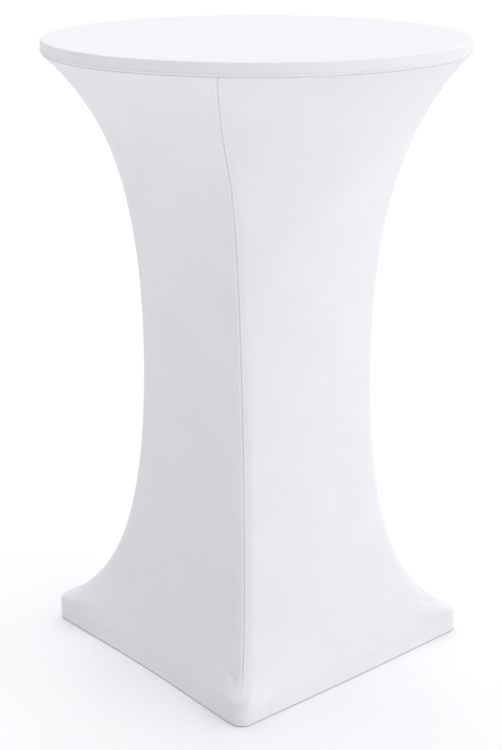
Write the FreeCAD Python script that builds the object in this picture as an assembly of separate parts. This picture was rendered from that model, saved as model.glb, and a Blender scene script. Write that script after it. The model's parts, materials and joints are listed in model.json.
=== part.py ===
"""Fitted stretch cover on a round bar-height pedestal table, with the table that it is stretched over.

The cover is a cap for the tabletop, four skirt panels sewn together at four corner seams, a hem
band with an elastic between each pair of feet, and a pocket at each corner that hooks under a foot.
The table is a laminated round top on a steel column with a bolted four-arm base.

Millimetres, +Z up. The origin is on the floor under the middle of the table, the feet are on the
diagonals, and -Y is the front.
"""

import FreeCAD
import Part

import math
import os

# ---- cover: overall sizes ----
COVER_HEIGHT = 1100.0       # floor to the top face of the cloth
COVER_RADIUS = 361.0        # outside of the cloth round the tabletop
FOOT_REACH = 375.5          # axis to the outside of the cloth at the tip of a foot
HEM_MID_REACH = 272.0       # axis to the hem halfway between two feet
CLOTH = 1.0                 # thickness of one layer of cloth
CLOTH_CLEARANCE = 0.3       # room between the cloth and the table inside it
POCKET_CLEARANCE = 0.5      # room between a pocket and the foot in it
CAP_DEPTH = 21.5            # top face to the seam under the tabletop's edge
CAP_EDGE_RADIUS = 3.0       # outside rounding of the cap's upper edge
HEM_EDGE = 2.5              # floor to the lower edge of the hem
POCKET_WALL = 1.5           # two layers of reinforcing cloth
SOLE_RAISE = 0.2            # how far a pocket's sole sits above the lower edge of its wall
POCKET_DEPTH = 62.0         # how far a pocket reaches back from the tip of its foot
SEAM_GAP = 0.4              # between two panels where the thread runs
SEAM_TWIST = 6.0            # degrees that the cap sits turned against the feet

# ---- cover: how the skirt draws in between the tabletop and the feet ----
SEAM_WAIST = 182.0          # reach of a corner seam, far from both ends
PANEL_WAIST = 154.0         # reach of the middle of a panel, far from both ends
RIM_FALL = 189.0            # height over which the skirt leaves the tabletop
FOOT_FALL = 117.0           # height over which a seam leaves a foot
FOOT_FALL_POWER = 0.68
FOOT_FALL_START = 1.5       # keeps the seam's slope finite where it leaves a foot
HEM_FALL = 170.0            # height over which the middle of a panel leaves the hem
CORNER_RADIUS_FOOT = 25.0
CORNER_RADIUS_WAIST = 32.0
CORNER_RADIUS_RIM = 220.0
CORNER_FALL_FOOT = 80.0
CORNER_FALL_RIM = 120.0

# ---- cover: hem, tapes and elastics ----
HEM_TURN_UP = 24.0          # height of the layer that is turned up inside
ELASTIC_THICKNESS = 1.0
ELASTIC_WIDTH = 16.0
ELASTIC_CLEARANCE = 0.15
TAPE_THICKNESS = 0.8
TAPE_WIDTH = 9.0            # each side of a corner seam
RIM_TAPE_WIDTH = 10.0

# ---- table: top ----
TOP_THICKNESS = 20.0
LAMINATE = 0.8
EDGE_BAND = 2.0
SPIDER_SIZE = 220.0         # tip to tip of the spider's arms
SPIDER_ARM_WIDTH = 38.0
SPIDER_THICKNESS = 4.0
SPIDER_BOSS_RADIUS = 14.0
SPIDER_BOSS_DEPTH = 30.0
SCREW_RADIUS = 2.2
SCREW_LENGTH = 15.0
SCREW_HEAD_RADIUS = 4.5
SCREW_HEAD_HEIGHT = 2.8
SCREW_PLACES = (60.0, 98.0)  # along each spider arm

# ---- table: column and tie rod ----
COLUMN_RADIUS = 30.0
COLUMN_WALL = 2.0
COLLAR_WALL = 3.5
COLLAR_HEIGHT = 26.0
FLANGE_RADIUS = 62.0
FLANGE_THICKNESS = 5.0
ROD_RADIUS = 6.0
ROD_END = 2.0               # how far the rod stops short of the spider's top and stands out of its nut
NUT_ACROSS_CORNERS = 21.0
NUT_HEIGHT = 10.0
WASHER_RADIUS = 15.0
WASHER_THICKNESS = 2.5
FIT_CLEARANCE = 0.05        # radial clearance of a shaft in its hole

# ---- table: base ----
BASE_PLATE_RADIUS = 112.0
BASE_PLATE_THICKNESS = 3.0
NUT_ACCESS_RADIUS = 20.0    # hole in the lower plate for a socket wrench
ARM_HEIGHT = 38.0
ARM_WALL = 2.0
ARM_INNER_END = 27.0        # axis to the inner end of an arm
CAP_PLUG_LENGTH = 22.0
TOE_EDGE_RADIUS = 6.0
BOLT_RADIUS = 4.0
BOLT_PLACES = (75.0, 99.0)  # along each arm
BOLT_HEAD_RADIUS = 6.5
BOLT_HEAD_HEIGHT = 5.0

# ---- table: levelling glides ----
GLIDE_PLACE = 292.0         # axis to a glide's stud
GLIDE_PAD_RADIUS = 16.0
GLIDE_PAD_GAP = 0.3         # between the pad and the arm when it is screwed fully in
GLIDE_PAD_CHAMFER = 1.0
GLIDE_SOCKET_FLOOR = 1.4    # plastic left under the stud
GLIDE_STUD_RADIUS = 4.0
GLIDE_STUD_LENGTH = 30.0
GLIDE_INSERT_RADIUS = 7.5
GLIDE_INSERT_HEIGHT = 10.0

# ---- worked out from the sizes above ----
RIM_Z = COVER_HEIGHT - CAP_DEPTH
TABLE_RADIUS = COVER_RADIUS - CLOTH - CLOTH_CLEARANCE
TABLE_TOP_Z = COVER_HEIGHT - CLOTH - CLOTH_CLEARANCE
TABLE_UNDER_Z = TABLE_TOP_Z - TOP_THICKNESS
ARM_UNDER_Z = HEM_EDGE + POCKET_WALL + POCKET_CLEARANCE
ARM_TOP_Z = ARM_UNDER_Z + ARM_HEIGHT
GLIDE_PAD_HEIGHT = ARM_UNDER_Z - GLIDE_PAD_GAP
POCKET_TOP = ARM_TOP_Z + POCKET_CLEARANCE + POCKET_WALL
TOE_RADIUS = CORNER_RADIUS_FOOT - POCKET_WALL - POCKET_CLEARANCE
TOE_REACH = FOOT_REACH - POCKET_WALL - POCKET_CLEARANCE
ARM_WIDTH = 2 * TOE_RADIUS
ARM_OUTER_END = TOE_REACH - TOE_RADIUS
UPPER_PLATE_Z = ARM_TOP_Z + BASE_PLATE_THICKNESS
LOWER_PLATE_Z = ARM_UNDER_Z - BASE_PLATE_THICKNESS
COLUMN_FOOT_Z = UPPER_PLATE_Z + FLANGE_THICKNESS
SPIDER_Z = TABLE_UNDER_Z - SPIDER_THICKNESS
SCREW_GRID = [(place, corner) for corner in range(4) for place in SCREW_PLACES]
HALF_ROOT = math.sqrt(0.5)

SIDES = ("front", "right", "back", "left")
CORNERS = ("front_right", "back_right", "back_left", "front_left")


# ---------------------------------------------------------------- the skirt's shape

def drawn_in(z, low, low_reach, low_fade, waist):
    """Reach at height z of a line that runs from low_reach at height low in to waist and out to the cap."""
    z = max(z, low)
    share = (z - low) / (RIM_Z - low)
    rim_fade = math.exp((z - RIM_Z) / RIM_FALL) - (1 - share) * math.exp((low - RIM_Z) / RIM_FALL)
    foot_fade = low_fade(z - low) - share * low_fade(RIM_Z - low)
    return waist + (COVER_RADIUS - waist) * rim_fade + (low_reach - waist) * foot_fade


def seam_fade(rise):
    """How much of a foot's reach a corner seam still has, at a height above the pocket."""
    start = (FOOT_FALL_START / FOOT_FALL) ** FOOT_FALL_POWER
    return math.exp(start - ((rise + FOOT_FALL_START) / FOOT_FALL) ** FOOT_FALL_POWER)


def panel_fade(rise):
    """How much of the hem's reach the middle of a panel still has, at a height above the hem."""
    return math.exp(-rise / HEM_FALL)


def seam_reach(z):
    """Axis to the outside of the cloth at a corner seam, at height z."""
    return drawn_in(z, POCKET_TOP, FOOT_REACH, seam_fade, SEAM_WAIST)


def panel_reach(z):
    """Axis to the outside of the cloth at the middle of a panel, at height z."""
    return drawn_in(z, HEM_EDGE, HEM_MID_REACH, panel_fade, PANEL_WAIST)


def corner_radius(z):
    """Rounding of the skirt's corner in plan, at height z."""
    above_foot = max(z - POCKET_TOP, 0.0)
    return (CORNER_RADIUS_FOOT
            + (CORNER_RADIUS_WAIST - CORNER_RADIUS_FOOT) * (1 - math.exp(-above_foot / CORNER_FALL_FOOT))
            + (CORNER_RADIUS_RIM - CORNER_RADIUS_WAIST) * math.exp((z - RIM_Z) / CORNER_FALL_RIM))


def slope_stretch(reach, z, highest, step=1.0):
    """How much longer the cloth's slanting thickness is when it is measured level.

    The slope is read no higher than highest, the upper edge of the piece of cloth.
    """
    low = max(z - step, HEM_EDGE)
    high = min(z + step, highest)
    rise = (reach(high) - reach(low)) / (high - low)
    return math.sqrt(1.0 + rise * rise)


def skirt_point(side, u, z, depth, highest=RIM_Z):
    """A point of the skirt: u runs from -1 to 1 across one side, depth is how far in from the outside.

    In plan a side is one arc, which may bow in or out, and half of a corner arc at each end.
    """
    corner = seam_reach(z)
    middle = panel_reach(z)
    radius = corner_radius(z)
    half = (corner - radius) * HALF_ROOT
    lean = (middle - corner * HALF_ROOT - radius * (1 - HALF_ROOT)) / half
    turn = 2 * math.atan(lean)
    if abs(turn) < 1e-6:
        turn = 1e-6
    bow = half / math.sin(turn) + radius
    flat_length = bow * turn
    total = flat_length + radius * (math.pi / 4 - turn)
    run = abs(u) * total
    if run <= flat_length:
        angle = run / bow
        across = bow * math.sin(angle)
        out = middle - bow * (1 - math.cos(angle))
    else:
        angle = turn + (run - flat_length) / radius
        across = bow * math.sin(turn) + radius * (math.sin(angle) - math.sin(turn))
        out = middle - bow * (1 - math.cos(turn)) - radius * (math.cos(turn) - math.cos(angle))
    share = abs(u) ** 4
    level = depth * ((1 - share) * slope_stretch(panel_reach, z, highest)
                     + share * slope_stretch(seam_reach, z, highest))
    out -= level * math.cos(angle)
    across -= level * math.sin(angle)
    across = math.copysign(across, u)
    rise = max(z - POCKET_TOP, 0.0) / (RIM_Z - POCKET_TOP)
    way = math.radians(90.0 * side - SEAM_TWIST * rise)
    x = math.sin(way) * out + math.cos(way) * across
    y = -math.cos(way) * out + math.sin(way) * across
    return FreeCAD.Vector(x, y, z)


def spread(low, high, count, pull=0.0):
    """count values from low to high, drawn towards both ends as pull goes to 1."""
    values = []
    for i in range(count):
        t = i / (count - 1)
        eased = (1 - math.cos(math.pi * t)) / 2
        values.append(low + (high - low) * ((1 - pull) * t + pull * eased))
    return values


def cloth_solid(places, heights, outside, inside):
    """A closed layer of cloth between two depths, over (side, u) places and heights."""
    def face(depth):
        grid = [[skirt_point(side, u, z, depth, heights[-1]) for side, u in places] for z in heights]
        surface = Part.BSplineSurface()
        surface.interpolate(grid)
        return surface

    outer = face(outside)
    inner = face(inside)
    faces = [outer.toShape(), inner.toShape()]
    u0, u1, v0, v1 = outer.bounds()
    for outer_edge, inner_edge in (
        (outer.uIso(u0), inner.uIso(u0)),
        (outer.uIso(u1), inner.uIso(u1)),
        (outer.vIso(v0), inner.vIso(v0)),
        (outer.vIso(v1), inner.vIso(v1)),
    ):
        faces.append(Part.makeRuledSurface(outer_edge.toShape(), inner_edge.toShape()))
    shell = Part.makeShell(faces)
    shell.sewShape()
    solid = Part.Solid(shell)
    if solid.Volume < 0:
        solid.reverse()
    return solid


def along_side(side, u_low, u_high, count):
    """(side, u) places across one side, closer together near its two corners."""
    return [(side, math.sin(math.pi / 2 * t))
            for t in spread(math.asin(u_low) * 2 / math.pi, math.asin(u_high) * 2 / math.pi, count)]


def half_length(z):
    """Length of the hem from the middle of a side to a corner, at height z."""
    steps = 60
    points = [skirt_point(0, i / steps, z, 0.0) for i in range(steps + 1)]
    return sum(a.distanceToPoint(b) for a, b in zip(points, points[1:]))


# ---------------------------------------------------------------- the cover's pieces

def make_cap():
    """The round cap over the tabletop and down its edge."""
    outer = COVER_RADIUS
    inner = COVER_RADIUS - CLOTH
    bend = CAP_EDGE_RADIUS
    top = COVER_HEIGHT
    centre = FreeCAD.Vector(outer - bend, 0, top - bend)
    diagonal = FreeCAD.Vector(HALF_ROOT, 0, HALF_ROOT)
    corners = [FreeCAD.Vector(0, 0, top), FreeCAD.Vector(outer - bend, 0, top)]
    edges = [
        Part.makeLine(corners[0], corners[1]),
        Part.Arc(corners[1], centre + diagonal * bend, FreeCAD.Vector(outer, 0, top - bend)).toShape(),
        Part.makeLine(FreeCAD.Vector(outer, 0, top - bend), FreeCAD.Vector(outer, 0, RIM_Z)),
        Part.makeLine(FreeCAD.Vector(outer, 0, RIM_Z), FreeCAD.Vector(inner, 0, RIM_Z)),
        Part.makeLine(FreeCAD.Vector(inner, 0, RIM_Z), FreeCAD.Vector(inner, 0, top - bend)),
        Part.Arc(FreeCAD.Vector(inner, 0, top - bend), centre + diagonal * (bend - CLOTH),
                 FreeCAD.Vector(outer - bend, 0, top - CLOTH)).toShape(),
        Part.makeLine(FreeCAD.Vector(outer - bend, 0, top - CLOTH), FreeCAD.Vector(0, 0, top - CLOTH)),
        Part.makeLine(FreeCAD.Vector(0, 0, top - CLOTH), corners[0]),
    ]
    profile = Part.Face(Part.Wire(edges))
    return profile.revolve(FreeCAD.Vector(0, 0, 0), FreeCAD.Vector(0, 0, 1), 360)


def make_skirt_panel(side):
    """One side of the skirt, from the rim seam to the top of the pockets and hem."""
    trim = 1 - SEAM_GAP / 2 / half_length((POCKET_TOP + RIM_Z) / 2)
    heights = spread(POCKET_TOP, RIM_Z, 27, 0.85)
    return cloth_solid(along_side(side, -trim, trim, 27), heights, 0.0, CLOTH)


def make_hem_band(side):
    """The hem between two pockets: the outer layer, the layer turned up inside, and the fold."""
    edge = 1 - POCKET_DEPTH / half_length(HEM_EDGE)
    places = along_side(side, -edge, edge, 13)
    fold_top = HEM_EDGE + CLOTH
    back = 2 * CLOTH + ELASTIC_THICKNESS + 2 * ELASTIC_CLEARANCE
    layer = cloth_solid(places, spread(fold_top, POCKET_TOP, 5), 0.0, CLOTH)
    turned = cloth_solid(places, spread(fold_top, HEM_EDGE + HEM_TURN_UP, 5), back - CLOTH, back)
    fold = cloth_solid(places, spread(HEM_EDGE, fold_top, 2 + 2), 0.0, back)
    return layer.fuse([turned, fold])


def make_hem_elastic(side):
    """The flat elastic that runs inside a hem band."""
    edge = 1 - POCKET_DEPTH / half_length(HEM_EDGE)
    low = HEM_EDGE + CLOTH + ELASTIC_CLEARANCE
    outside = CLOTH + ELASTIC_CLEARANCE
    return cloth_solid(along_side(side, -edge, edge, 13), spread(low, low + ELASTIC_WIDTH, 4),
                       outside, outside + ELASTIC_THICKNESS)


def corner_places(side, reach_back, count):
    """Places round the corner between a side and the next, reach_back along each side."""
    far = 1 - reach_back
    first = [(side, u) for u in spread(far, 1.0, count)]
    second = [((side + 1) % 4, -u) for u in reversed([u for _, u in first[:-1]])]
    return first + second


def make_foot_pocket(side):
    """The reinforced cup at the corner after a side: its wall and the sole that hooks under the foot."""
    edge = (POCKET_DEPTH - SEAM_GAP / 2) / half_length(HEM_EDGE)
    wall = cloth_solid(corner_places(side, edge, 9), spread(HEM_EDGE, POCKET_TOP, 5), 0.0, POCKET_WALL)
    inset = edge - POCKET_WALL / half_length(HEM_EDGE)
    outline = [skirt_point(s, u, HEM_EDGE + SOLE_RAISE, POCKET_WALL / 2) for s, u in corner_places(side, inset, 9)]
    curve = Part.BSplineCurve()
    curve.interpolate(outline)
    chord = Part.makeLine(outline[-1], outline[0])
    sole = Part.Face(Part.Wire([curve.toShape(), chord]))
    return wall.fuse(sole.extrude(FreeCAD.Vector(0, 0, POCKET_WALL - SOLE_RAISE)))


def make_seam_tape(side):
    """The tape sewn behind the corner seam after a side, over both panels' edges."""
    middle = half_length((POCKET_TOP + RIM_Z) / 2)
    places = corner_places(side, TAPE_WIDTH / middle, 4)
    heights = spread(POCKET_TOP + 2 * POCKET_WALL, RIM_Z - RIM_TAPE_WIDTH - 2 * CLOTH, 25, 0.85)
    return cloth_solid(places, heights, CLOTH + ELASTIC_CLEARANCE, CLOTH + ELASTIC_CLEARANCE + TAPE_THICKNESS)


def make_rim_tape():
    """The tape sewn behind the rim seam, in four lengths."""
    heights = spread(RIM_Z - RIM_TAPE_WIDTH, RIM_Z - 2 * CLOTH, 4)
    trim = 1 - SEAM_GAP / half_length(RIM_Z)
    inside = CLOTH + ELASTIC_CLEARANCE
    lengths = [cloth_solid(along_side(side, -trim, trim, 21), heights, inside, inside + TAPE_THICKNESS)
               for side in range(4)]
    return Part.makeCompound(lengths)


# ---------------------------------------------------------------- the table's pieces

def disc(radius, low, high, hole=0.0):
    """A round plate about the axis, with an optional hole."""
    plate = Part.makeCylinder(radius, high - low, FreeCAD.Vector(0, 0, low))
    if hole:
        plate = plate.cut(Part.makeCylinder(hole, high - low + 2, FreeCAD.Vector(0, 0, low - 1)))
    return plate


def turned(shape, corner):
    """shape, made along +X, turned to point at a corner: 0 is front right, then counterclockwise."""
    copy = shape.copy()
    copy.rotate(FreeCAD.Vector(0, 0, 0), FreeCAD.Vector(0, 0, 1), -45.0 + 90.0 * corner)
    return copy


def hexagon(across_corners, low, high, x=0.0, hole=0.0):
    """A nut about a vertical axis at x."""
    points = [FreeCAD.Vector(x + across_corners / 2 * math.cos(math.radians(a)),
                             across_corners / 2 * math.sin(math.radians(a)), low)
              for a in range(0, 361, 60)]
    nut = Part.Face(Part.makePolygon(points)).extrude(FreeCAD.Vector(0, 0, high - low))
    if hole:
        nut = nut.cut(Part.makeCylinder(hole, high - low + 2, FreeCAD.Vector(x, 0, low - 1)))
    return nut


def make_tabletop():
    """The core with its pilot holes, the two laminates and the edge band."""
    core_radius = TABLE_RADIUS - EDGE_BAND
    low = TABLE_UNDER_Z + LAMINATE
    high = TABLE_TOP_Z - LAMINATE
    core = disc(core_radius, low, high)
    backing = disc(core_radius, TABLE_UNDER_Z, low)
    for place, corner in SCREW_GRID:
        hole = Part.makeCylinder(SCREW_RADIUS + FIT_CLEARANCE, SCREW_LENGTH,
                                 FreeCAD.Vector(place, 0, SPIDER_Z))
        hole = turned(hole, corner)
        core = core.cut(hole)
        backing = backing.cut(hole)
    band = disc(TABLE_RADIUS, TABLE_UNDER_Z, TABLE_TOP_Z, core_radius)
    rims = [edge for edge in band.Edges
            if edge.Closed and abs(edge.Curve.Radius - TABLE_RADIUS) < 1e-6 and len(edge.Vertexes) == 1]
    band = band.makeFillet(min(EDGE_BAND * 0.75, TOP_THICKNESS / 4), rims)
    return {
        "tabletop_core": core,
        "tabletop_backing": backing,
        "tabletop_laminate": disc(core_radius, high, TABLE_TOP_Z),
        "tabletop_edge_band": band,
    }


def make_spider():
    """The four-armed plate that joins the column to the tabletop, with a boss for the tie rod."""
    arm = Part.makeBox(SPIDER_SIZE, SPIDER_ARM_WIDTH, SPIDER_THICKNESS,
                       FreeCAD.Vector(-SPIDER_SIZE / 2, -SPIDER_ARM_WIDTH / 2, SPIDER_Z))
    corners = [edge for edge in arm.Edges if abs(edge.BoundBox.ZLength - SPIDER_THICKNESS) < 1e-6]
    arm = arm.makeFillet(SPIDER_ARM_WIDTH * 0.3, corners)
    plate = turned(arm, 0).fuse(turned(arm, 1)).removeSplitter()
    for place, corner in SCREW_GRID:
        hole = Part.makeCylinder(SCREW_RADIUS + FIT_CLEARANCE, SPIDER_THICKNESS + 2,
                                 FreeCAD.Vector(place, 0, SPIDER_Z - 1))
        plate = plate.cut(turned(hole, corner))
    boss = disc(SPIDER_BOSS_RADIUS, SPIDER_Z - SPIDER_BOSS_DEPTH, SPIDER_Z)
    bore = Part.makeCylinder(ROD_RADIUS + FIT_CLEARANCE, SPIDER_BOSS_DEPTH,
                             FreeCAD.Vector(0, 0, SPIDER_Z - SPIDER_BOSS_DEPTH))
    collar = disc(COLUMN_RADIUS + FIT_CLEARANCE + COLLAR_WALL, SPIDER_Z - COLLAR_HEIGHT, SPIDER_Z,
                  COLUMN_RADIUS + FIT_CLEARANCE)
    return plate.fuse([boss, collar]).cut(bore)


def make_spider_screws():
    """The screws through the spider into the core."""
    screws = []
    for place, corner in SCREW_GRID:
        shank = Part.makeCylinder(SCREW_RADIUS, SCREW_LENGTH - 1, FreeCAD.Vector(place, 0, SPIDER_Z))
        head = Part.makeCone(SCREW_HEAD_RADIUS * 0.7, SCREW_HEAD_RADIUS, SCREW_HEAD_HEIGHT,
                             FreeCAD.Vector(place, 0, SPIDER_Z - SCREW_HEAD_HEIGHT))
        screws.append(turned(shank.fuse(head), corner))
    return Part.makeCompound(screws)


def make_column():
    """The steel tube between the two collars."""
    return disc(COLUMN_RADIUS, COLUMN_FOOT_Z, SPIDER_Z, COLUMN_RADIUS - COLUMN_WALL)


def make_column_flange():
    """The flange and collar that the column stands in."""
    plate = disc(FLANGE_RADIUS, UPPER_PLATE_Z, COLUMN_FOOT_Z, ROD_RADIUS + FIT_CLEARANCE)
    upper = [edge for edge in plate.Edges
             if edge.Closed and abs(edge.BoundBox.ZMax - COLUMN_FOOT_Z) < 1e-6
             and abs(edge.Curve.Radius - FLANGE_RADIUS) < 1e-6]
    plate = plate.makeChamfer(FLANGE_THICKNESS * 0.4, upper)
    collar = disc(COLUMN_RADIUS + FIT_CLEARANCE + COLLAR_WALL, COLUMN_FOOT_Z, COLUMN_FOOT_Z + COLLAR_HEIGHT,
                  COLUMN_RADIUS + FIT_CLEARANCE)
    return plate.fuse(collar)


def make_base_plate(low, hole):
    """One of the two plates that hold the arms between them, with a hole in its middle."""
    plate = disc(BASE_PLATE_RADIUS, low, low + BASE_PLATE_THICKNESS, hole)
    for corner in range(4):
        for place in BOLT_PLACES:
            bolt_hole = Part.makeCylinder(BOLT_RADIUS + FIT_CLEARANCE, BASE_PLATE_THICKNESS + 2,
                                          FreeCAD.Vector(place, 0, low - 1))
            plate = plate.cut(turned(bolt_hole, corner))
    return plate


def make_arm(corner):
    """One square-section arm, with its bolt holes and the hole for its glide."""
    length = ARM_OUTER_END - ARM_INNER_END
    tube = Part.makeBox(length, ARM_WIDTH, ARM_HEIGHT,
                        FreeCAD.Vector(ARM_INNER_END, -ARM_WIDTH / 2, ARM_UNDER_Z))
    long_edges = [edge for edge in tube.Edges if abs(edge.BoundBox.XLength - length) < 1e-6]
    tube = tube.makeFillet(ARM_WALL, long_edges)
    hollow = Part.makeBox(length + 2, ARM_WIDTH - 2 * ARM_WALL, ARM_HEIGHT - 2 * ARM_WALL,
                          FreeCAD.Vector(ARM_INNER_END - 1, ARM_WALL - ARM_WIDTH / 2, ARM_UNDER_Z + ARM_WALL))
    tube = tube.cut(hollow)
    for place in BOLT_PLACES:
        tube = tube.cut(Part.makeCylinder(BOLT_RADIUS + FIT_CLEARANCE, ARM_HEIGHT + 2,
                                          FreeCAD.Vector(place, 0, ARM_UNDER_Z - 1)))
    tube = tube.cut(Part.makeCylinder(GLIDE_INSERT_RADIUS, ARM_WALL + 2,
                                      FreeCAD.Vector(GLIDE_PLACE, 0, ARM_UNDER_Z - 1)))
    return turned(tube, corner)


def make_foot_cap(corner):
    """The moulded end of an arm: a rounded nose and a plug in the tube."""
    nose = Part.makeCylinder(TOE_RADIUS, ARM_HEIGHT, FreeCAD.Vector(ARM_OUTER_END, 0, ARM_UNDER_Z))
    inner_half = Part.makeBox(ARM_WIDTH, 2 * ARM_WIDTH, ARM_HEIGHT,
                              FreeCAD.Vector(ARM_OUTER_END - ARM_WIDTH, -ARM_WIDTH, ARM_UNDER_Z))
    nose = nose.cut(inner_half)
    nose = nose.Solids[0]
    rims = [edge for edge in nose.Edges if edge.BoundBox.ZLength < 1e-6 and edge.BoundBox.XLength > 1e-6]
    nose = nose.makeFillet(TOE_EDGE_RADIUS, rims)
    inset = ARM_WALL + 2 * FIT_CLEARANCE
    plug = Part.makeBox(CAP_PLUG_LENGTH, ARM_WIDTH - 2 * inset, ARM_HEIGHT - 2 * inset,
                        FreeCAD.Vector(ARM_OUTER_END - CAP_PLUG_LENGTH, inset - ARM_WIDTH / 2, ARM_UNDER_Z + inset))
    return turned(nose.fuse(plug), corner)


def make_arm_bolts():
    """The bolts through the plates and arms, heads up."""
    bolts = []
    for corner in range(4):
        for place in BOLT_PLACES:
            shank = Part.makeCylinder(BOLT_RADIUS, UPPER_PLATE_Z - LOWER_PLATE_Z,
                                      FreeCAD.Vector(place, 0, LOWER_PLATE_Z))
            head = hexagon(BOLT_HEAD_RADIUS * 2, UPPER_PLATE_Z, UPPER_PLATE_Z + BOLT_HEAD_HEIGHT, place)
            bolts.append(turned(shank.fuse(head), corner))
    return Part.makeCompound(bolts)


def make_tie_rod():
    """The threaded rod that pulls the base, column and spider together, drawn at its thread's outside."""
    low = ARM_TOP_Z - WASHER_THICKNESS - NUT_HEIGHT - ROD_END
    top = SPIDER_Z - ROD_END
    return Part.makeCylinder(ROD_RADIUS, top - low, FreeCAD.Vector(0, 0, low))


def make_rod_nut():
    """The nut that pulls the upper plate against the column."""
    high = ARM_TOP_Z - WASHER_THICKNESS
    return hexagon(NUT_ACROSS_CORNERS, high - NUT_HEIGHT, high, 0.0, ROD_RADIUS + FIT_CLEARANCE)


def make_rod_washer():
    """The washer between the tie rod's nut and the upper plate."""
    return disc(WASHER_RADIUS, ARM_TOP_Z - WASHER_THICKNESS, ARM_TOP_Z, ROD_RADIUS + FIT_CLEARANCE)


def make_glide_insert(corner):
    """The threaded insert in the underside of an arm."""
    low = ARM_UNDER_Z
    insert = Part.makeCylinder(GLIDE_INSERT_RADIUS - FIT_CLEARANCE, GLIDE_INSERT_HEIGHT,
                               FreeCAD.Vector(GLIDE_PLACE, 0, low))
    bore = Part.makeCylinder(GLIDE_STUD_RADIUS + FIT_CLEARANCE, GLIDE_INSERT_HEIGHT + 2,
                             FreeCAD.Vector(GLIDE_PLACE, 0, low - 1))
    return turned(insert.cut(bore), corner)


def make_glide_pad(corner):
    """The moulded pad of a levelling glide, with the socket that its stud is set in."""
    pad = Part.makeCylinder(GLIDE_PAD_RADIUS, GLIDE_PAD_HEIGHT, FreeCAD.Vector(GLIDE_PLACE, 0, 0))
    lower = [edge for edge in pad.Edges if edge.Closed and abs(edge.BoundBox.ZMax) < 1e-6]
    pad = pad.makeChamfer(GLIDE_PAD_CHAMFER, lower)
    socket = Part.makeCylinder(GLIDE_STUD_RADIUS, GLIDE_PAD_HEIGHT,
                               FreeCAD.Vector(GLIDE_PLACE, 0, GLIDE_SOCKET_FLOOR))
    return turned(pad.cut(socket), corner)


def make_glide_stud(corner):
    """The stud of a levelling glide, screwed fully in and drawn at the thread's outside."""
    stud = Part.makeCylinder(GLIDE_STUD_RADIUS, GLIDE_STUD_LENGTH,
                             FreeCAD.Vector(GLIDE_PLACE, 0, GLIDE_SOCKET_FLOOR))
    return turned(stud, corner)


def make_parts():
    """Every node's shape, by name."""
    parts = {"cap": make_cap(), "rim_seam_tape": make_rim_tape()}
    for k, side in enumerate(SIDES):
        parts["skirt_" + side] = make_skirt_panel(k)
        parts["hem_band_" + side] = make_hem_band(k)
        parts["hem_elastic_" + side] = make_hem_elastic(k)
    for k, corner in enumerate(CORNERS):
        parts["foot_pocket_" + corner] = make_foot_pocket(k)
        parts["seam_tape_" + corner] = make_seam_tape(k)
        parts["arm_" + corner] = make_arm(k)
        parts["foot_cap_" + corner] = make_foot_cap(k)
        parts["glide_insert_" + corner] = make_glide_insert(k)
        parts["glide_pad_" + corner] = make_glide_pad(k)
        parts["glide_stud_" + corner] = make_glide_stud(k)
    parts.update(make_tabletop())
    parts["top_spider"] = make_spider()
    parts["spider_screws"] = make_spider_screws()
    parts["column"] = make_column()
    parts["column_flange"] = make_column_flange()
    parts["base_plate_upper"] = make_base_plate(ARM_TOP_Z, ROD_RADIUS + FIT_CLEARANCE)
    parts["base_plate_lower"] = make_base_plate(LOWER_PLATE_Z, NUT_ACCESS_RADIUS)
    parts["arm_bolts"] = make_arm_bolts()
    parts["tie_rod"] = make_tie_rod()
    parts["tie_rod_nut"] = make_rod_nut()
    parts["tie_rod_washer"] = make_rod_washer()
    return parts


os.makedirs("parts", exist_ok=True)
for name, shape in make_parts().items():
    valid = all(solid.isValid() and solid.Volume > 0 for solid in shape.Solids)
    print(f"{name:28s} solids {len(shape.Solids)} volume {shape.Volume:12.1f} valid {valid}")
    shape.exportStep(os.path.join("parts", name + ".step"))
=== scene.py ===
"""Looks of a fitted stretch tablecloth on a round bar-height table, with the table that is inside it.

The cover's cloth is built on the same rule of shape as the solids that it stands for, and then given
its seams, hem, pockets, tapes, stitches and small puckers. The table keeps its solids, which get
finishes, and its screws and studs are drawn again with their threads. Metres throughout.
"""

import json
import logging
import math
from dataclasses import dataclass, field
from enum import Enum
from typing import Any, Callable, Iterable, Sequence

import bpy
import numpy as np
from mathutils import Matrix, Vector


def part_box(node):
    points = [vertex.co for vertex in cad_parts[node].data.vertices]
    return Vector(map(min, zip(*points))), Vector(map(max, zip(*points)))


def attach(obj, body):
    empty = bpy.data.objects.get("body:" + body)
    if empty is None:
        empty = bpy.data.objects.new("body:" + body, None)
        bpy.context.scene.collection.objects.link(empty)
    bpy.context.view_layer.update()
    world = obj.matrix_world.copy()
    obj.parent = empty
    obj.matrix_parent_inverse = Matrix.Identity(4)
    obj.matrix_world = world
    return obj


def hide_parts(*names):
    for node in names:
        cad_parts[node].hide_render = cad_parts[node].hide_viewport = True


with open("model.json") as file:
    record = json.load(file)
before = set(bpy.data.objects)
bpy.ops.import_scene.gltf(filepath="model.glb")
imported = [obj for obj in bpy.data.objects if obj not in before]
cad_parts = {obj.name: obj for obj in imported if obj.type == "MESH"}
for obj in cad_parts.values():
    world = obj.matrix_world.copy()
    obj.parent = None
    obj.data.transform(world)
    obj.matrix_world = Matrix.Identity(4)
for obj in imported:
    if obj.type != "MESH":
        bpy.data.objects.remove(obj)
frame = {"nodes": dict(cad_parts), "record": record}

LOG = logging.getLogger("tablecloth")
MM = 0.001
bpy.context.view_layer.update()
COVER = "cover"
TABLE = "table"


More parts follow.
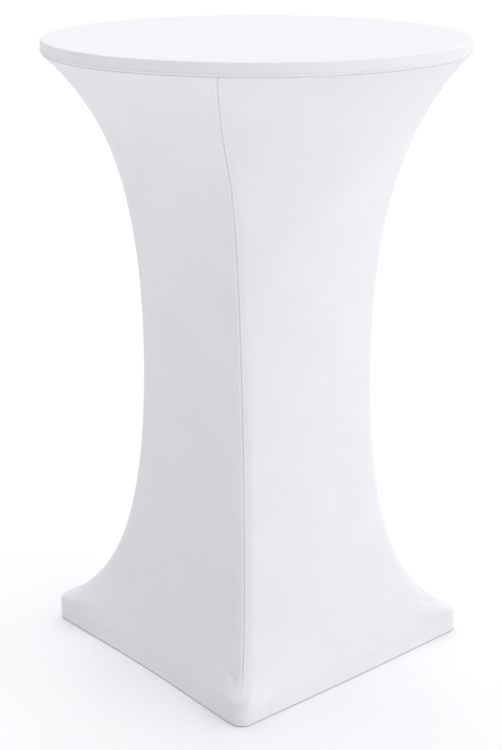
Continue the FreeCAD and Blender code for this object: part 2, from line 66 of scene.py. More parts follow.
class Side(Enum):
    """The four sides of the skirt, counterclockwise from the front, with their direction in quarter turns."""

    FRONT = 0
    RIGHT = 1
    BACK = 2
    LEFT = 3

    @property
    def label(self) -> str:
        """The side's name as the nodes have it.

        Returns:
            The name.
        """
        return self.name.lower()

    @property
    def corner(self) -> str:
        """The name of the corner that comes after this side, counterclockwise.

        Returns:
            The name.
        """
        return ("front_right", "back_right", "back_left", "front_left")[self.value]


class StitchKind(Enum):
    """How a thread runs along its line."""

    STRAIGHT = "straight"
    ZIGZAG = "zigzag"


# ---------------------------------------------------------------- node trees


class NodePen:
    """Draws nodes into a tree, with their inputs given as sockets or plain values."""

    def __init__(self, tree: bpy.types.NodeTree) -> None:
        """Takes the tree to draw in.

        Args:
            tree: A shader or geometry node tree.
        """
        self.tree = tree

    def add(self, kind: str, inputs: dict[Any, Any] | None = None, **settings: Any) -> bpy.types.Node:
        """Adds one node.

        Args:
            kind: The node's type name.
            inputs: Values or sockets, by input name or index.
            settings: Properties of the node.

        Returns:
            The new node.
        """
        node = self.tree.nodes.new(kind)
        for name, value in settings.items():
            setattr(node, name, value)
        for key, value in (inputs or {}).items():
            if isinstance(value, bpy.types.NodeSocket):
                self.tree.links.new(value, node.inputs[key])
            else:
                node.inputs[key].default_value = value
        return node

    def math(self, operation: str, first: Any, second: Any = 0.0, third: Any = 0.0) -> bpy.types.NodeSocket:
        """Adds a Math node.

        Args:
            operation: The operation's name.
            first: First value or socket.
            second: Second value or socket.
            third: Third value or socket.

        Returns:
            The node's output.
        """
        return self.add("ShaderNodeMath", {0: first, 1: second, 2: third}, operation=operation).outputs[0]

    def ramp(self, factor: bpy.types.NodeSocket, stops: Sequence[tuple[float, tuple[float, float, float]]]
             ) -> bpy.types.NodeSocket:
        """Adds a colour ramp.

        Args:
            factor: What drives the ramp.
            stops: Places and colours, lowest first.

        Returns:
            The ramp's colour.
        """
        node = self.add("ShaderNodeValToRGB", {0: factor})
        elements = node.color_ramp.elements
        while len(elements) < len(stops):
            elements.new(0.5)
        for element, (place, colour) in zip(elements, stops):
            element.position = place
            element.color = (*colour, 1.0)
        return node.outputs[0]

    def noise(self, vector: bpy.types.NodeSocket, scale: float, detail: float = 2.0) -> bpy.types.NodeSocket:
        """Adds a noise texture.

        Args:
            vector: Where it is read.
            scale: Cells per metre.
            detail: Octaves.

        Returns:
            The noise's value.
        """
        return self.add("ShaderNodeTexNoise", {"Vector": vector, "Scale": scale, "Detail": detail}).outputs[0]

    def place(self) -> bpy.types.NodeSocket:
        """Adds a Texture Coordinate node.

        Returns:
            The object's own coordinates.
        """
        return self.add("ShaderNodeTexCoord").outputs["Object"]

    def cover(self, shader: bpy.types.Node, colour: bpy.types.NodeSocket, height: bpy.types.NodeSocket,
              relief: float, strength: float) -> None:
        """Gives a shader its colour and the small relief of its surface.

        Args:
            shader: The shader node.
            colour: What colours it.
            height: How high the surface stands, from about 0 to 1.
            relief: Metres that a height of 1 stands for.
            strength: How strongly the relief shows.
        """
        bump = self.add("ShaderNodeBump", {"Height": height, "Distance": relief, "Strength": strength})
        self.tree.links.new(colour, shader.inputs["Base Color"])
        self.tree.links.new(bump.outputs[0], shader.inputs["Normal"])


def shade(colour: tuple[float, float, float], factor: float, lift: float = 0.0) -> tuple[float, ...]:
    """A lighter or darker shade of a colour.

    Args:
        colour: The colour.
        factor: What each channel is multiplied by.
        lift: What is then added to each channel.

    Returns:
        The shade, with no channel over 1.
    """
    return tuple(min(1.0, channel * factor + lift) for channel in colour)


def new_material(name: str) -> tuple[bpy.types.Material, NodePen, bpy.types.Node]:
    """Makes a material with one shader.

    Args:
        name: The material's name.

    Returns:
        The material, a pen for its tree and its shader node.
    """
    material = bpy.data.materials.new(name)
    material.use_nodes = True
    material.node_tree.nodes.clear()
    pen = NodePen(material.node_tree)
    shader = pen.add("ShaderNodeBsdfPrincipled")
    output = pen.add("ShaderNodeOutputMaterial")
    pen.tree.links.new(shader.outputs[0], output.inputs[0])
    return material, pen, shader


# ---------------------------------------------------------------- finishes


@dataclass(frozen=True)
class KnitCloth:
    """A fine knitted stretch cloth, read on the piece's own UV map in metres."""

    name: str
    colour: tuple[float, float, float]
    wale: float = 0.8 * MM
    course: float = 0.55 * MM
    relief: float = 0.05 * MM
    roughness: float = 0.82
    sheen: float = 0.10

    def material(self) -> bpy.types.Material:
        """Builds the cloth: rows of small V-shaped loops with painted shade in their hollows, faint random
        tone differences and a soft sheen.

        Returns:
            The material.
        """
        material, pen, shader = new_material(self.name)
        place = pen.add("ShaderNodeUVMap", uv_map="UVMap").outputs[0]
        split = pen.add("ShaderNodeSeparateXYZ", {0: place})
        across = pen.math("DIVIDE", split.outputs[0], self.wale)
        along = pen.math("DIVIDE", split.outputs[1], self.course)
        lean = pen.math("PINGPONG", across, 0.5)
        column = pen.math("ABSOLUTE", pen.math("SINE", pen.math("MULTIPLY", across, math.pi)))
        row = pen.math("MULTIPLY_ADD", lean, 1.4, along)
        loop = pen.math("ABSOLUTE", pen.math("SINE", pen.math("MULTIPLY", row, math.pi)))
        height = pen.math("ADD", pen.math("MULTIPLY", column, 0.7), pen.math("MULTIPLY", loop, 0.5))
        cloud = pen.noise(place, 9.0, 3.0)
        fuzz = pen.noise(place, 1400.0, 1.0)
        tint = pen.ramp(cloud, [(0.3, shade(self.colour, 0.982)), (0.7, shade(self.colour, 1.012))])
        # painted shade: the hollows between the loops, low in the bump's height, are darkened to 93 percent
        painted_loop_shade = pen.ramp(height, [(0.0, (0.93, 0.93, 0.93)), (0.6, (1.0, 1.0, 1.0))])
        colour = pen.add("ShaderNodeMix", {"Factor": 1.0, 6: tint, 7: painted_loop_shade},
                         data_type="RGBA", blend_type="MULTIPLY").outputs[2]
        pen.cover(shader, colour, pen.math("MULTIPLY_ADD", fuzz, 0.5, height), self.relief, 0.5)
        shader.inputs["Roughness"].default_value = self.roughness
        shader.inputs["Sheen Weight"].default_value = self.sheen
        shader.inputs["Sheen Roughness"].default_value = 0.45
        return material


@dataclass(frozen=True)
class SpunThread:
    """Polyester sewing thread."""

    name: str
    colour: tuple[float, float, float]

    def material(self) -> bpy.types.Material:
        """Builds the thread, with its twist as fine bands of relief whose grooves are darkened as painted
        shade.

        Returns:
            The material.
        """
        material, pen, shader = new_material(self.name)
        twist = pen.add("ShaderNodeTexWave", {"Vector": pen.place(), "Scale": 900.0, "Distortion": 1.0},
                        bands_direction="DIAGONAL").outputs[1]
        # painted shade: the colour darkens to 90 percent where the twist's relief is low, in its grooves
        colour = pen.ramp(twist, [(0.0, shade(self.colour, 0.9)), (1.0, self.colour)])
        pen.cover(shader, colour, twist, 0.03 * MM, 0.6)
        shader.inputs["Roughness"].default_value = 0.6
        shader.inputs["Sheen Weight"].default_value = 0.15
        return material


@dataclass(frozen=True)
class RibbedElastic:
    """Woven elastic with ribs across its width."""

    name: str
    colour: tuple[float, float, float]
    rib: float = 1.1 * MM

    def material(self) -> bpy.types.Material:
        """Builds the elastic, with painted shade darkening the grooves between its ribs.

        Returns:
            The material.
        """
        material, pen, shader = new_material(self.name)
        split = pen.add("ShaderNodeSeparateXYZ", {0: pen.place()})
        turn = pen.math("MULTIPLY", split.outputs[2], math.pi / self.rib)
        level = pen.math("ABSOLUTE", pen.math("SINE", turn))
        # painted shade: the grooves between the ribs, low in the same height as the bump, are darkened to 86
        # percent
        colour = pen.ramp(level, [(0.1, shade(self.colour, 0.86)), (0.7, self.colour)])
        pen.cover(shader, colour, level, 0.2 * MM, 0.7)
        shader.inputs["Roughness"].default_value = 0.7
        return material


@dataclass(frozen=True)
class PaintedSteel:
    """Powder-coated steel: a fine orange-peel skin, with scuffs that are a little duller."""

    name: str
    colour: tuple[float, float, float]
    roughness: float = 0.42

    def material(self) -> bpy.types.Material:
        """Builds the paint.

        Returns:
            The material.
        """
        material, pen, shader = new_material(self.name)
        place = pen.place()
        peel = pen.noise(place, 900.0, 1.0)
        scuff = pen.noise(place, 38.0, 6.0)
        colour = pen.ramp(scuff, [(0.45, self.colour), (0.78, shade(self.colour, 1.35, 0.01))])
        pen.cover(shader, colour, peel, 0.04 * MM, 0.6)
        rough = pen.math("MULTIPLY_ADD", scuff, 0.3, self.roughness - 0.12)
        pen.tree.links.new(rough, shader.inputs["Roughness"])
        return material


@dataclass(frozen=True)
class ZincPlate:
    """Bright zinc-plated steel with drawn streaks."""

    name: str
    colour: tuple[float, float, float]

    def material(self) -> bpy.types.Material:
        """Builds the plating.

        Returns:
            The material.
        """
        material, pen, shader = new_material(self.name)
        place = pen.place()
        streak = pen.add("ShaderNodeMapping", {"Vector": place, "Scale": (1.0, 1.0, 0.08)}).outputs[0]
        grain = pen.noise(streak, 1500.0, 2.0)
        bloom = pen.noise(place, 120.0, 4.0)
        pen.cover(shader, pen.ramp(bloom, [(0.3, shade(self.colour, 0.8)), (0.7, self.colour)]), grain,
                  0.02 * MM, 0.5)
        pen.tree.links.new(pen.math("MULTIPLY_ADD", grain, 0.25, 0.22), shader.inputs["Roughness"])
        shader.inputs["Metallic"].default_value = 1.0
        return material


@dataclass(frozen=True)
class ChipBoard:
    """Pressed wood chips in resin."""

    name: str
    chip: float = 3.0 * MM
    dark: tuple[float, float, float] = (0.33, 0.22, 0.12)
    middle: tuple[float, float, float] = (0.52, 0.39, 0.24)
    light: tuple[float, float, float] = (0.68, 0.55, 0.38)

    def material(self) -> bpy.types.Material:
        """Builds the board.

        Returns:
            The material.
        """
        material, pen, shader = new_material(self.name)
        flat = pen.add("ShaderNodeMapping", {"Vector": pen.place(), "Scale": (1.0, 1.0, 2.6)}).outputs[0]
        chips = pen.add("ShaderNodeTexVoronoi", {"Vector": flat, "Scale": 1.0 / self.chip, "Randomness": 1.0})
        tone = pen.add("ShaderNodeSeparateXYZ", {0: chips.outputs["Color"]}).outputs[0]
        colour = pen.ramp(tone, [(0.0, self.dark), (0.5, self.middle), (1.0, self.light)])
        pen.cover(shader, colour, chips.outputs[0], 0.2 * MM, 0.6)
        shader.inputs["Roughness"].default_value = 0.85
        return material


@dataclass(frozen=True)
class PebbledSkin:
    """A moulded or pressed skin with a fine pebble, for plastics and melamine."""

    name: str
    colour: tuple[float, float, float]
    pebble: float = 0.5 * MM
    relief: float = 0.04 * MM
    roughness: float = 0.5

    def material(self) -> bpy.types.Material:
        """Builds the skin.

        Returns:
            The material.
        """
        material, pen, shader = new_material(self.name)
        place = pen.place()
        cells = pen.add("ShaderNodeTexVoronoi", {"Vector": place, "Scale": 1.0 / self.pebble},
                        feature="SMOOTH_F1").outputs[0]
        wear = pen.noise(place, 30.0, 5.0)
        colour = pen.ramp(wear, [(0.4, self.colour), (0.75, shade(self.colour, 1.08, 0.01))])
        pen.cover(shader, colour, cells, self.relief, 0.7)
        rough = pen.math("MULTIPLY_ADD", wear, 0.2, self.roughness - 0.1)
        pen.tree.links.new(rough, shader.inputs["Roughness"])
        return material


@dataclass(frozen=True)
class StudioFloor:
    """A plain pale floor."""

    name: str
    colour: tuple[float, float, float]

    def material(self) -> bpy.types.Material:
        """Builds the floor's finish.

        Returns:
            The material.
        """
        material, pen, shader = new_material(self.name)
        grain = pen.noise(pen.place(), 6.0, 4.0)
        colour = pen.ramp(grain, [(0.3, shade(self.colour, 0.995)), (0.7, self.colour)])
        pen.tree.links.new(colour, shader.inputs["Base Color"])
        shader.inputs["Roughness"].default_value = 0.95
        shader.inputs["Specular IOR Level"].default_value = 0.1
        return material


@dataclass
class Wardrobe:
    """Every finish of the object, made once and shared by its slot's name."""

    made: dict[str, bpy.types.Material] = field(default_factory=dict)
    finishes: dict[str, Any] = field(default_factory=lambda: {
        "white_stretch_cloth": KnitCloth("white_stretch_cloth", (0.800, 0.797, 0.812)),
        "hem_cloth": KnitCloth("hem_cloth", (0.800, 0.797, 0.812)),
        "pocket_cloth": KnitCloth("pocket_cloth", (0.785, 0.782, 0.797), wale=1.1 * MM, course=0.9 * MM),
        "white_elastic": RibbedElastic("white_elastic", (0.78, 0.78, 0.79)),
        "seam_tape": KnitCloth("seam_tape", (0.785, 0.782, 0.797), wale=0.6 * MM, course=0.6 * MM),
        "white_thread": SpunThread("white_thread", (0.785, 0.782, 0.797)),
        "particle_board": ChipBoard("particle_board"),
        "white_laminate": PebbledSkin("white_laminate", (0.80, 0.80, 0.78), 0.9 * MM, 0.02 * MM, 0.38),
        "edge_band": PebbledSkin("edge_band", (0.74, 0.74, 0.72), 0.7 * MM, 0.02 * MM, 0.45),
        "grey_painted_steel": PaintedSteel("grey_painted_steel", (0.16, 0.165, 0.17)),
        "black_painted_steel": PaintedSteel("black_painted_steel", (0.022, 0.022, 0.025)),
        "zinc_steel": ZincPlate("zinc_steel", (0.60, 0.61, 0.62)),
        "black_plastic": PebbledSkin("black_plastic", (0.018, 0.018, 0.02), 0.35 * MM, 0.05 * MM, 0.55),
    })

    def get(self, slot: str) -> bpy.types.Material:
        """The material for a slot.

        Args:
            slot: The finish's name.

        Returns:
            The material, made on first use.
        """
        if slot not in self.made:
            self.made[slot] = self.finishes[slot].material()
        return self.made[slot]


# ---------------------------------------------------------------- meshes


def mesh_object(name: str, points: np.ndarray, faces: Iterable[Sequence[int]], uvs: np.ndarray | None = None
                ) -> bpy.types.Object:
    """Makes a smooth mesh object at the origin.

    Args:
        name: The object's name.
        points: One row of three coordinates per vertex.
        faces: Vertex numbers of each face, outward side first.
        uvs: One UV place per vertex, in metres.

    Returns:
        The object, linked to the scene.
    """
    mesh = bpy.data.meshes.new(name)
    mesh.from_pydata([tuple(p) for p in points], [], [tuple(f) for f in faces])
    mesh.update()
    if uvs is not None:
        layer = mesh.uv_layers.new(name="UVMap")
        loops = np.empty(len(mesh.loops), dtype=np.int32)
        mesh.loops.foreach_get("vertex_index", loops)
        layer.data.foreach_set("uv", np.asarray(uvs, dtype=np.float32)[loops].ravel())
    mesh.polygons.foreach_set("use_smooth", [True] * len(mesh.polygons))
    piece = bpy.data.objects.new(name, mesh)
    bpy.context.scene.collection.objects.link(piece)
    return piece


def grid_faces(rows: int, columns: int, wrap: bool = False) -> list[tuple[int, int, int, int]]:
    """Faces of a grid of points, row after row.

    Args:
        rows: How many rows.
        columns: How many points in a row.
        wrap: Whether the last column joins the first.

    Returns:
        The faces' vertex numbers.
    """
    across = columns if wrap else columns - 1
    return [(r * columns + c, r * columns + (c + 1) % columns,
             (r + 1) * columns + (c + 1) % columns, (r + 1) * columns + c)
            for r in range(rows - 1) for c in range(across)]


def thicken(piece: bpy.types.Object, thickness: float) -> None:
    """Gives a sheet its thickness inwards.

    Args:
        piece: The sheet.
        thickness: Its thickness in metres.
    """
    solid = piece.modifiers.new("cloth_thickness", "SOLIDIFY")
    solid.thickness = thickness
    solid.offset = -1.0
    solid.use_even_offset = True


def graded(low: float, high: float, coarse: float, spots: Sequence[tuple[float, float, float]]) -> np.ndarray:
    """Values from low to high, closer together near some places.

    Args:
        low: First value.
        high: Last value.
        coarse: Widest step.
        spots: Place, finest step there, and how fast the step grows with distance from it.

    Returns:
        The values.
    """
    values = [low]
    while values[-1] < high:
        here = values[-1]
        step = min([coarse] + [fine + growth * abs(here - place) for place, fine, growth in spots])
        values.append(here + step)
    spread = np.array(values)
    return low + (spread - low) * (high - low) / (spread[-1] - low)


def lengths_along(line: np.ndarray) -> np.ndarray:
    """Lengths along a line up to each of its points.

    Args:
        line: The points, in order.

    Returns:
        One length for each point, from 0.
    """
    return np.concatenate([[0.0], np.cumsum(np.linalg.norm(np.diff(line, axis=0), axis=-1))])


def bell(x: np.ndarray, centre: float, width: float) -> np.ndarray:
    """A soft bump of height one.

    Args:
        x: Where it is read.
        centre: Its middle.
        width: Its width in the same units.

    Returns:
        The bump's height.
    """
    return np.exp(-((x - centre) / width) ** 2)


def ease(x: np.ndarray, start: float, end: float) -> np.ndarray:
    """A smooth step from 0 at start to 1 at end.

    Args:
        x: Where it is read.
        start: Where it leaves 0.
        end: Where it reaches 1.

    Returns:
        The step's height.
    """
    t = np.clip((x - start) / (end - start), 0.0, 1.0)
    return t * t * (3.0 - 2.0 * t)


def fading(x: np.ndarray, clear: float, fall: float) -> np.ndarray:
    """A share that rises from 0 within a short first length and then fades away.

    Args:
        x: Lengths from the start.
        clear: The length within which it rises.
        fall: The length over which it fades.

    Returns:
        The share.
    """
    return np.exp(-np.maximum(x, 0.0) / fall) * (1 - np.exp(-(x / clear) ** 2))


class Waviness:
    """Smooth, seeded unevenness along a line: a few sine waves of unrelated lengths."""

    def __init__(self, seed: int, length: float, waves: int = 5) -> None:
        """Draws the waves.

        Args:
            seed: The draw's seed.
            length: The typical wave's length in metres.
            waves: How many waves are added.
        """
        draw = np.random.default_rng(seed)
        self.lengths = length * draw.uniform(0.6, 1.8, waves)
        self.phases = draw.uniform(0.0, 2.0 * math.pi, waves)
        self.weights = draw.uniform(0.5, 1.0, waves)

    def __call__(self, x: np.ndarray) -> np.ndarray:
        """The unevenness at x, from about -1 to 1.

        Args:
            x: Places along the line, in metres.

        Returns:
            The values there.
        """
        total = sum(w * np.sin(2.0 * math.pi * x / n + p)
                    for w, n, p in zip(self.weights, self.lengths, self.phases))
        return total / self.weights.sum()


# ---------------------------------------------------------------- the skirt's shape


@dataclass(frozen=True)
class SkirtShape:
    """The rule that the skirt follows between the round tabletop and the square of its feet.

    In plan each side is one arc, which may bow in or out, and half of a corner arc at each end.
    """

    rim_z: float
    pocket_top: float
    hem_edge: float
    cover_radius: float
    foot_reach: float
    hem_mid_reach: float = 0.272
    seam_waist: float = 0.182
    panel_waist: float = 0.154
    rim_fall: float = 0.189
    foot_fall: float = 0.117
    foot_fall_power: float = 0.68
    foot_fall_start: float = 0.0015
    hem_fall: float = 0.170
    corner_radius_foot: float = 0.025
    corner_radius_waist: float = 0.032
    corner_radius_rim: float = 0.220
    corner_fall_foot: float = 0.080
    corner_fall_rim: float = 0.120
    twist: float = math.radians(6.0)
    foot_rounding: float = 4.2 * MM
    panel_rounding: float = 17.0 * MM
    askew_at_rim: float = 7.5 * MM
    askew_fall: float = 0.020
    askew_below: float = 5.0 * MM
    askew_below_drop: float = 0.105
    askew_below_width: float = 0.065
    near_seam: tuple[float, float] = (24 * MM, 95 * MM)
    near_floor: tuple[float, float] = (0.12, 0.20)

    @classmethod
    def from_frame(cls) -> "SkirtShape":
        """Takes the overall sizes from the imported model.

        Returns:
            The shape.
        """
        cap_low, cap_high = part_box("cap")
        pocket_low, pocket_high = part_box("foot_pocket_front_right")
        corner = cls.corner_radius_foot
        return cls(
            rim_z=cap_low[2],
            pocket_top=pocket_high[2],
            hem_edge=pocket_low[2],
            cover_radius=cap_high[0],
            foot_reach=(pocket_high[0] - corner) * math.sqrt(2.0) + corner,
        )

    def drawn_in(self, z: np.ndarray, low: float, low_reach: float, low_fade: Callable[[Any], Any],
                 waist: float) -> np.ndarray:
        """Reach of a line that runs from the feet or hem in to the waist and out to the cap.

        Args:
            z: Heights.
            low: Height of the line's lower end.
            low_reach: Its reach there.
            low_fade: How much of that reach is left at a height above it.
            waist: The reach far from both ends.

        Returns:
            The reach at each height.
        """
        z = np.maximum(z, low)
        share = (z - low) / (self.rim_z - low)
        left_below = math.exp((low - self.rim_z) / self.rim_fall)
        rim = np.exp((z - self.rim_z) / self.rim_fall) - (1 - share) * left_below
        foot = low_fade(z - low) - share * low_fade(self.rim_z - low)
        return waist + (self.cover_radius - waist) * rim + (low_reach - waist) * foot

    def seam_fade(self, rise: np.ndarray) -> np.ndarray:
        """How much of a foot's reach a corner seam still has, at a height above the pocket.

        Args:
            rise: Heights above the pocket.

        Returns:
            Shares, 1 at the pocket.
        """
        start = (self.foot_fall_start / self.foot_fall) ** self.foot_fall_power
        return np.exp(start - ((rise + self.foot_fall_start) / self.foot_fall) ** self.foot_fall_power)

    def panel_fade(self, rise: np.ndarray) -> np.ndarray:
        """How much of the hem's reach the middle of a panel still has, at a height above the hem.

        Args:
            rise: Heights above the hem.

        Returns:
            Shares, 1 at the hem.
        """
        return np.exp(-rise / self.hem_fall)

    def seam_reach(self, z: np.ndarray) -> np.ndarray:
        """Axis to the cloth at a corner seam, at heights z.

        Args:
            z: Heights.

        Returns:
            The reach.
        """
        return self.drawn_in(z, self.pocket_top, self.foot_reach, self.seam_fade, self.seam_waist)

    def panel_reach(self, z: np.ndarray) -> np.ndarray:
        """Axis to the cloth at the middle of a panel, at heights z.

        Args:
            z: Heights.

        Returns:
            The reach.
        """
        return self.drawn_in(z, self.hem_edge, self.hem_mid_reach, self.panel_fade, self.panel_waist)

    def corner_radius(self, z: np.ndarray) -> np.ndarray:
        """Rounding of the skirt's corner in plan.

        Args:
            z: Heights.

        Returns:
            The corner arc's radius.
        """
        above = np.maximum(z - self.pocket_top, 0.0)
        foot_share = 1 - np.exp(-above / self.corner_fall_foot)
        rim_share = np.exp((z - self.rim_z) / self.corner_fall_rim)
        foot = (self.corner_radius_waist - self.corner_radius_foot) * foot_share
        rim = (self.corner_radius_rim - self.corner_radius_waist) * rim_share
        return self.corner_radius_foot + foot + rim

    def drift(self, z: np.ndarray) -> np.ndarray:
        """How far the sewn cloth sits askew round the axis near the rim.

        Args:
            z: Heights.

        Returns:
            The turn in radians.
        """
        drop = self.rim_z - z
        shift = self.askew_at_rim * np.exp(-drop / self.askew_fall)
        shift = shift - self.askew_below * bell(drop, self.askew_below_drop, self.askew_below_width)
        return shift / self.seam_reach(z)

    def eased_reach(self, z: np.ndarray, spread: float) -> np.ndarray:
        """The corner seams' reach with its bend over the feet smoothed out.

        Args:
            z: Heights.
            spread: How far up and down the bend is smoothed.

        Returns:
            The reach at each height.
        """
        steps = np.linspace(-3.0, 3.0, 25)
        weights = np.exp(-steps ** 2 / 2)
        smooth = sum(w * self.seam_reach(z + step * spread) for step, w in zip(steps, weights))
        smooth = smooth / weights.sum()
        near = 1 - ease(z, self.pocket_top + 3 * spread, self.pocket_top + 6 * spread)
        return near * smooth + (1 - near) * self.seam_reach(z)

    def section(self, z: np.ndarray, corner: np.ndarray | None = None) -> tuple[np.ndarray, ...]:
        """The arcs of half a side at heights z.

        Args:
            z: Heights.
            corner: The corner seams' reach there, where it isn't the plain one.

        Returns:
            The middle's reach, the side arc's signed radius, its turn, its length, the corner arc's
            radius, and the length of the whole half side.
        """
        corner = self.eased_reach(z, self.foot_rounding) if corner is None else corner
        middle, radius = self.panel_reach(z), self.corner_radius(z)
        root = math.sqrt(0.5)
        half = (corner - radius) * root
        lean = (middle - corner * root - radius * (1 - root)) / half
        turn = 2.0 * np.arctan(lean)
        turn = np.where(np.abs(turn) < 1e-6, 1e-6, turn)
        bow = half / np.sin(turn) + radius
        flat = bow * turn
        return middle, bow, turn, flat, radius, flat + radius * (math.pi / 4 - turn)

    def half_length(self, z: np.ndarray) -> np.ndarray:
        """Length of the cloth from the middle of a side to its corner seam.

        Args:
            z: Heights.

        Returns:
            The lengths.
        """
        return self.section(np.asarray(z, dtype=float))[-1]

    def points(self, side: int, run: np.ndarray, z: np.ndarray) -> np.ndarray:
        """Points on the outside of the cloth.

        Args:
            side: The side's number.
            run: Signed length along the side from its middle.
            z: Heights, of the same shape as run.

        Returns:
            An array of points.
        """
        sharp_out, sharp_across, half = self.level_place(run, z)
        reach = self.eased_reach(z, self.panel_rounding)
        soft_half = self.section(z, reach)[-1]
        soft_out, soft_across, _ = self.level_place(run * soft_half / half, z, reach)
        near_foot = 1 - ease(half - np.abs(run), *self.near_seam) * (1 - ease(z, *self.near_floor))
        out = near_foot * sharp_out + (1 - near_foot) * soft_out
        across = near_foot * sharp_across + (1 - near_foot) * soft_across
        rise = np.maximum(z - self.pocket_top, 0.0) / (self.rim_z - self.pocket_top)
        way = side * math.pi / 2 - self.twist * rise + self.drift(z)
        x = np.sin(way) * out + np.cos(way) * across
        y = -np.cos(way) * out + np.sin(way) * across
        return np.stack([x, y, z], axis=-1)

    def level_place(self, run: np.ndarray, z: np.ndarray, corner: np.ndarray | None = None
                    ) -> tuple[np.ndarray, np.ndarray, np.ndarray]:
        """Where a point of a side is in plan, before the side is turned to its own direction.

        Args:
            run: Signed length from the side's middle.
            z: Heights, of the same shape.
            corner: As in section().

        Returns:
            How far out it is, how far across, and the half length of the side.
        """
        middle, bow, turn, flat, radius, half = self.section(z, corner)
        distance = np.abs(run)
        straight = distance <= flat
        angle = np.where(straight, distance / bow, turn + (distance - flat) / radius)
        across = np.where(straight, bow * np.sin(angle),
                          bow * np.sin(turn) + radius * (np.sin(angle) - np.sin(turn)))
        out = np.where(straight, middle - bow * (1 - np.cos(angle)),
                       middle - bow * (1 - np.cos(turn)) - radius * (np.cos(turn) - np.cos(angle)))
        return out, np.copysign(across, run), half

    def outward(self, side: int, run: np.ndarray, z: np.ndarray) -> np.ndarray:
        """Level directions out of the plain skirt, as long as it takes to stand one unit off its slope.

        Args:
            side: The side's number.
            run: Signed length from the side's middle.
            z: Heights, of the same shape.

        Returns:
            An array of level vectors.
        """
        step = 0.8 * MM
        flattest = 0.55
        across = self.points(side, run + step, z) - self.points(side, run - step, z)
        up = self.points(side, run, np.minimum(z + step, self.rim_z)) - self.points(side, run, z - step)
        normals = np.cross(across, up)
        normals /= np.linalg.norm(normals, axis=-1, keepdims=True)
        level = normals * np.array([1.0, 1.0, 0.0])
        length = np.linalg.norm(level, axis=-1, keepdims=True)
        return level / length / np.maximum(length, flattest)


@dataclass(frozen=True)
class Swell:
    """A soft round swelling of the cloth, or a dent where its height is negative."""

    height: float
    across: float
    across_width: float
    z: float
    z_width: float

    def at(self, across: np.ndarray, z: np.ndarray) -> np.ndarray:
        """How far it lifts the cloth.

        Args:
            across: Lengths across the cloth.
            z: Heights.

        Returns:
            The lift in metres.
        """
        return self.height * bell(across, self.across, self.across_width) * bell(z, self.z, self.z_width)


